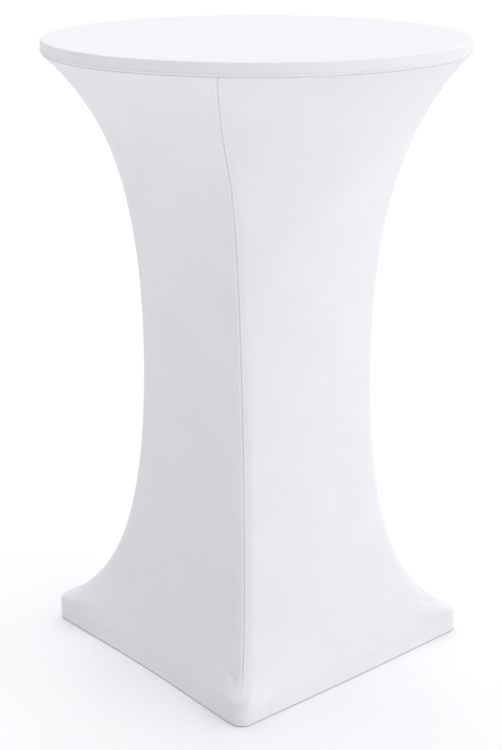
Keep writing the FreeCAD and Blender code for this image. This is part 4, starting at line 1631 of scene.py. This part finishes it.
@dataclass
class Cover:
    """The whole cover: cap, skirt, hem, elastic, pockets, tapes and threads."""

    wardrobe: Wardrobe
    shape: SkirtShape = field(default_factory=SkirtShape.from_frame)
    hem_end: float = 63.0 * MM
    elastic_width: float = 16.0 * MM
    elastic_rib: float = 1.6 * MM
    tape_half: float = 9.0 * MM
    tape_lift: float = -1.5 * MM
    tape_thickness: float = 0.45 * MM
    outer_lift: float = 0.10 * MM

    def __post_init__(self) -> None:
        """Makes up the skirt's surface, which every other piece follows."""
        self.skirt = MadeUpSkirt(self.shape)
        self.cap = CoverCap(self.shape)

    def build(self) -> None:
        """Makes every piece of the cover."""
        self.cap.build(self.wardrobe)
        for side in Side:
            SkirtPanel(self.skirt, side).build(self.wardrobe)
            FootPocket(self.skirt, side).build(self.wardrobe)
            for strip in self.strips(side):
                strip.build(self.wardrobe)
        tree = grow_stitch_tree()
        for seed, run in enumerate(self.threads()):
            run.build(tree, self.wardrobe, 100 + seed)
        LOG.info("cover built")

    def strips(self, side: Side) -> list[InnerStrip]:
        """The hem's turned-up layer, the elastic and the tapes that belong to a side.

        Args:
            side: The side.

        Returns:
            The strips.
        """
        shape, skirt = self.shape, self.skirt
        low = shape.hem_edge
        half = self.half_side(low)
        between = np.linspace(-half + self.hem_end, half - self.hem_end, 90)
        hem_rises = np.concatenate([[0.6, 0.45, 0.6, 1.3], np.linspace(2.4, 24.0, 12)]) * MM
        hem_lift = np.concatenate([[-1.1, -1.7, -2.3, -2.75], np.full(12, -2.9)]) * MM
        elastic_z = np.linspace(low + 1.3 * MM, low + 1.3 * MM + self.elastic_width, 41)
        ribs = np.cos((elastic_z - elastic_z[0]) / self.elastic_rib * 2 * math.pi)
        tape_z = graded(shape.pocket_top + 3 * MM, shape.rim_z - 12 * MM, 7 * MM, ())
        tape_across = np.linspace(-self.tape_half, self.tape_half, 19)
        rim_half = self.half_side(shape.rim_z)
        rim_z = np.linspace(shape.rim_z - 10 * MM, shape.rim_z - 2.2 * MM, 7)
        rim_across = np.linspace(-rim_half + 4 * MM, rim_half - 4 * MM, 110)
        return [
            InnerStrip(f"hem_turned_up_{side.label}", skirt, side.value, "hem_cloth",
                       (f"hem_band_{side.label}",), low + hem_rises, hem_lift, between, thickness=0.5 * MM),
            InnerStrip(f"elastic_{side.label}", skirt, side.value, "white_elastic",
                       (f"hem_elastic_{side.label}",), elastic_z, -1.35 * MM + 0.11 * MM * ribs, between,
                       thickness=0.8 * MM, relax=0.88),
            InnerStrip(f"seam_tape_strip_{side.corner}", skirt, side.value, "seam_tape",
                       (f"seam_tape_{side.corner}",), tape_z, np.full(len(tape_z), self.tape_lift),
                       tape_across, round_seam=True, thickness=self.tape_thickness),
            InnerStrip(f"rim_tape_strip_{side.label}", skirt, side.value, "seam_tape", ("rim_seam_tape",),
                       rim_z, np.full(len(rim_z), self.tape_lift), rim_across, thickness=self.tape_thickness),
        ]

    def half_side(self, height: float) -> float:
        """Length of half a side at one height.

        Args:
            height: The height.

        Returns:
            The length.
        """
        return float(self.shape.half_length(np.array([height]))[0])

    def threads(self) -> list[StitchRun]:
        """Every line of stitches on the cover.

        Returns:
            The threads, in the order of their seeds.
        """
        shape, skirt = self.shape, self.skirt
        low, top, pocket = shape.hem_edge, shape.pocket_top, skirt.pocket_reach
        runs = [StitchRun("rim_topstitch", [self.cap.topstitch()], pitch=3.3 * MM, cover=0.72,
                          radius=0.30 * MM)]
        half = self.half_side(low)
        along = np.linspace(-half + pocket, half - pocket, 400)
        z = np.linspace(top + 2 * MM, shape.rim_z - 3 * MM, 900)
        up = np.linspace(low + 2 * MM, top - 3 * MM, 60)
        around = np.linspace(pocket, -pocket, 240)
        for side in Side:
            lines = [skirt.surface(side.value, along, np.full_like(along, low + rise), self.outer_lift)
                     for rise in (20.0 * MM, 17.6 * MM)]
            inner = [skirt.base(side.value, along, np.full_like(along, low + rise), -3.5 * MM)
                     for rise in (22.6 * MM, 24.2 * MM)]
            seam = skirt.round_seam(side.value, np.full_like(z, 1.25 * MM), z, 0.05 * MM, made_up=True)
            edges = [(np.full_like(up, pocket), up), (np.full_like(up, -pocket), up),
                     (around, np.full_like(around, top - 3 * MM))]
            runs += [
                StitchRun(f"hem_topstitch_{side.label}", lines, radius=0.22 * MM),
                StitchRun(f"hem_overlock_{side.label}", inner, StitchKind.ZIGZAG, pitch=1.9 * MM, cover=1.0),
                StitchRun(f"seam_stitch_{side.corner}", [seam], pitch=2.8 * MM, cover=0.7, radius=0.20 * MM),
                StitchRun(f"pocket_stitch_{side.corner}", [
                    skirt.round_seam(side.value, distance, height, self.outer_lift, made_up=True)
                    for distance, height in edges], radius=0.20 * MM),
                self.tape_thread(side),
            ]
        return runs

    def tape_thread(self, side: Side) -> StitchRun:
        """The zigzag that holds a corner's tape inside the skirt.

        Args:
            side: The side before the corner.

        Returns:
            The thread.
        """
        z = np.linspace(self.shape.pocket_top + 5 * MM, self.shape.rim_z - 14 * MM, 700)
        lines = [self.skirt.round_seam(side.value, np.full_like(z, distance * MM), z, -2.05 * MM)
                 for distance in (7.6, 5.6, -5.6, -7.6)]
        return StitchRun(f"tape_zigzag_{side.corner}", lines, StitchKind.ZIGZAG, pitch=2.6 * MM, cover=1.0,
                         radius=0.20 * MM)


# ---------------------------------------------------------------- the table's pieces


def lathe(name: str, profile: Sequence[tuple[float, float]], segments: int) -> bpy.types.Object:
    """Turns a profile about the vertical axis into a closed mesh.

    Args:
        name: The object's name.
        profile: Radii and heights from the lower pole to the upper, both on the axis.
        segments: How many columns.

    Returns:
        The object.
    """
    angle = np.linspace(0.0, 2 * math.pi, segments, endpoint=False)
    rings = [np.stack([r * np.cos(angle), r * np.sin(angle), np.full(segments, z)], axis=-1)
             for r, z in profile[1:-1]]
    points = np.concatenate([np.concatenate(rings), [[0, 0, profile[0][1]], [0, 0, profile[-1][1]]]])
    count = len(rings) * segments
    faces: list[Sequence[int]] = list(grid_faces(len(rings), segments, wrap=True))
    faces += [((c + 1) % segments, c, count) for c in range(segments)]
    last = count - segments
    faces += [(last + c, last + (c + 1) % segments, count + 1) for c in range(segments)]
    return mesh_object(name, points, faces)


@dataclass
class TableInside:
    """The table that the cover is on: its solids take their finishes, and its threaded pieces are drawn."""

    wardrobe: Wardrobe
    thread_pitch: float = 1.25 * MM
    screw_pitch: float = 1.4 * MM
    screw_turns: int = 9
    screw_head: float = 2.8 * MM
    screw_places: tuple[float, float] = (60 * MM, 98 * MM)
    weld_reach: float = 33.6 * MM
    weld_radius: float = 1.7 * MM

    def paint(self) -> None:
        """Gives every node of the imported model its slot's finish."""
        for row in frame["record"]["subparts"]:
            node = frame["nodes"][row["node"]]
            node.data.materials.clear()
            node.data.materials.append(self.wardrobe.get(row["material_slot"]))

    def threaded(self, name: str, radius: float, low: float, high: float) -> bpy.types.Object:
        """A threaded rod on the vertical axis.

        Args:
            name: The object's name.
            radius: Outer radius of the thread.
            low: Lower end.
            high: Upper end.

        Returns:
            The rod.
        """
        depth = 0.54 * self.thread_pitch
        count = int((high - low - 2 * MM) / self.thread_pitch)
        profile = [(0.0, low), (radius - depth, low)]
        for i in range(count):
            base = low + MM + i * self.thread_pitch
            profile += [(radius - depth, base), (radius, base + 0.45 * self.thread_pitch),
                        (radius, base + 0.58 * self.thread_pitch)]
        profile += [(radius - depth, high - 0.5 * MM), (0.0, high)]
        rod = lathe(name, profile, 32)
        rod.data.materials.append(self.wardrobe.get("zinc_steel"))
        return rod

    def build_studs(self) -> None:
        """Draws the four glides' threaded studs."""
        for side in Side:
            node = f"glide_stud_{side.corner}"
            low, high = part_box(node)
            rod = self.threaded(f"threaded_stud_{side.corner}", (high[0] - low[0]) / 2, low[2], high[2])
            rod.data.transform(Matrix.Translation(((low[0] + high[0]) / 2, (low[1] + high[1]) / 2, 0.0)))
            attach(rod, f"glide_{side.corner}")
            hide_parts(node)

    def build_screws(self) -> None:
        """Draws the screws that hold the spider to the tabletop, each with its recessed head and thread."""
        low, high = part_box("spider_screws")
        head_low, head_high, shank_high = low[2], low[2] + self.screw_head, high[2]
        profile = [(0.0, head_low + 1.5 * MM), (1.0 * MM, head_low + 1.5 * MM),
                   (1.5 * MM, head_low + 0.1 * MM), (2.2 * MM, head_low),
                   (3.6 * MM, head_low + 0.5 * MM), (4.5 * MM, head_high - 0.5 * MM),
                   (4.5 * MM, head_high), (2.2 * MM, head_high)]
        for i in range(self.screw_turns):
            base = head_high + MM + i * self.screw_pitch
            profile += [(1.6 * MM, base), (2.2 * MM, base + 0.6 * MM), (1.6 * MM, base + 1.1 * MM)]
        profile.append((0.0, shank_high))
        screw = lathe("screw_pattern", profile, 18)
        places = [(r * math.cos(a), r * math.sin(a), 0.0)
                  for a in (math.radians(45 + 90 * k) for k in range(4)) for r in self.screw_places]
        mesh = bpy.data.meshes.new("screw_places")
        mesh.from_pydata(places, [], [])
        carrier = bpy.data.objects.new("screw_places", mesh)
        bpy.context.scene.collection.objects.link(carrier)
        piece = run_tree("spider_screw_set", carrier, grow_fastener_tree(), Fastener=screw,
                         Widest_Turn=2 * math.pi, Seed=7, Material=self.wardrobe.get("zinc_steel"))
        bpy.data.objects.remove(screw)
        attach(piece, TABLE)
        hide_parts("spider_screws")

    def build_welds(self) -> None:
        """Lays a rippled weld bead round each collar, on the face of the plate that it is welded to."""
        columns, turns = 240, 8
        angle = np.linspace(0.0, 2 * math.pi, columns, endpoint=False)
        ripple = 1.0 + 0.10 * np.sin(angle * 44)
        for name, node, below_top in (("weld_flange", "column_flange", 26 * MM),
                                      ("weld_spider", "top_spider", 4 * MM)):
            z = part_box(node)[1][2] - below_top
            rings = []
            for turn in np.linspace(0.0, 2 * math.pi, turns + 1)[:-1]:
                r = self.weld_reach + self.weld_radius * ripple * math.cos(turn)
                rings.append(np.stack([r * np.cos(angle), r * np.sin(angle),
                                       z + self.weld_radius * ripple * math.sin(turn)], axis=-1))
            faces = [(r * columns + c, r * columns + (c + 1) % columns,
                      (r + 1) % turns * columns + (c + 1) % columns, (r + 1) % turns * columns + c)
                     for r in range(turns) for c in range(columns)]
            bead = mesh_object(name, np.array(rings).reshape(-1, 3), faces)
            bead.data.materials.append(self.wardrobe.get("black_painted_steel"))
            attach(bead, TABLE)

    def build(self) -> None:
        """Finishes the table."""
        self.paint()
        self.build_studs()
        self.build_screws()
        self.build_welds()
        LOG.info("table finished")


# ---------------------------------------------------------------- the studio


@dataclass(frozen=True)
class Lamp:
    """One broad, even light that lights the whole floor alike.

    It comes from an azimuth, counterclockwise from the front, and an elevation above the floor. Its
    softness is how wide it is seen to be from the object. All three are in degrees. Its strength is in
    watts per square metre.
    """

    name: str
    azimuth: float
    elevation: float
    strength: float
    softness: float = 60.0

    def build(self) -> None:
        """Hangs the light."""
        a, e = math.radians(self.azimuth), math.radians(self.elevation)
        back = Vector((math.sin(a) * math.cos(e), -math.cos(a) * math.cos(e), math.sin(e)))
        light = bpy.data.lights.new(self.name, "SUN")
        light.angle = math.radians(self.softness)
        light.energy = self.strength
        lamp = bpy.data.objects.new(self.name, light)
        lamp.rotation_mode = "QUATERNION"
        lamp.location = back * 3.0
        lamp.rotation_quaternion = back.to_track_quat("Z", "Y")
        bpy.context.scene.collection.objects.link(lamp)


@dataclass
class Studio:
    """Pale floor, soft light and the camera."""

    azimuth: float = math.radians(49.0)
    distance: float = 2.580
    height: float = 1.377
    pitch: float = math.radians(18.83)
    lens: float = 72.34
    shift: float = -0.007
    floor_size: float = 600.0
    surround: float = 0.54
    surround_tint: tuple[float, float, float, float] = (1.0, 0.985, 1.04, 1.0)
    lamps: tuple[Lamp, ...] = (
        Lamp("key_right", 120.0, 30.0, 0.69),
        Lamp("low_right", 150.0, 15.0, 0.24),
        Lamp("side_right", 90.0, 45.0, 0.21),
        Lamp("back_right", 180.0, 45.0, 0.49),
        Lamp("back_left", 240.0, 55.0, 0.90),
        Lamp("left_fill", 300.0, 55.0, 0.32),
        Lamp("front_fill", 60.0, 25.0, 0.10),
    )

    def build_floor(self) -> None:
        """Lays the floor."""
        bpy.ops.mesh.primitive_plane_add(size=self.floor_size, location=(0.0, 0.0, 0.0))
        floor = bpy.context.active_object
        floor.name = "studio_floor"
        floor.data.materials.append(StudioFloor("studio_floor", (0.92, 0.92, 0.92)).material())

    def build(self) -> None:
        """Sets the studio up."""
        scene = bpy.context.scene
        self.build_floor()
        world = bpy.data.worlds.new("studio_world")
        scene.world = world
        world.use_nodes = True
        background = world.node_tree.nodes["Background"]
        background.inputs[0].default_value = self.surround_tint
        background.inputs[1].default_value = self.surround
        for lamp in self.lamps:
            lamp.build()
        camera = bpy.data.objects.new("camera", bpy.data.cameras.new("camera"))
        scene.collection.objects.link(camera)
        camera.location = (self.distance * math.sin(self.azimuth), -self.distance * math.cos(self.azimuth),
                           self.height)
        camera.rotation_euler = (math.pi / 2 - self.pitch, 0.0, self.azimuth)
        camera.data.lens = self.lens
        camera.data.shift_x = self.shift
        camera.data.clip_start = 0.05
        camera.data.clip_end = 200.0
        scene.camera = camera
        scene.view_settings.view_transform = "Standard"
        scene.view_settings.look = "None"


def main() -> None:
    """Builds the scene."""
    logging.basicConfig(level=logging.INFO, format="%(name)s: %(message)s")
    wardrobe = Wardrobe()
    Cover(wardrobe).build()
    TableInside(wardrobe).build()
    Studio().build()


if __name__ == "__main__":
    main()
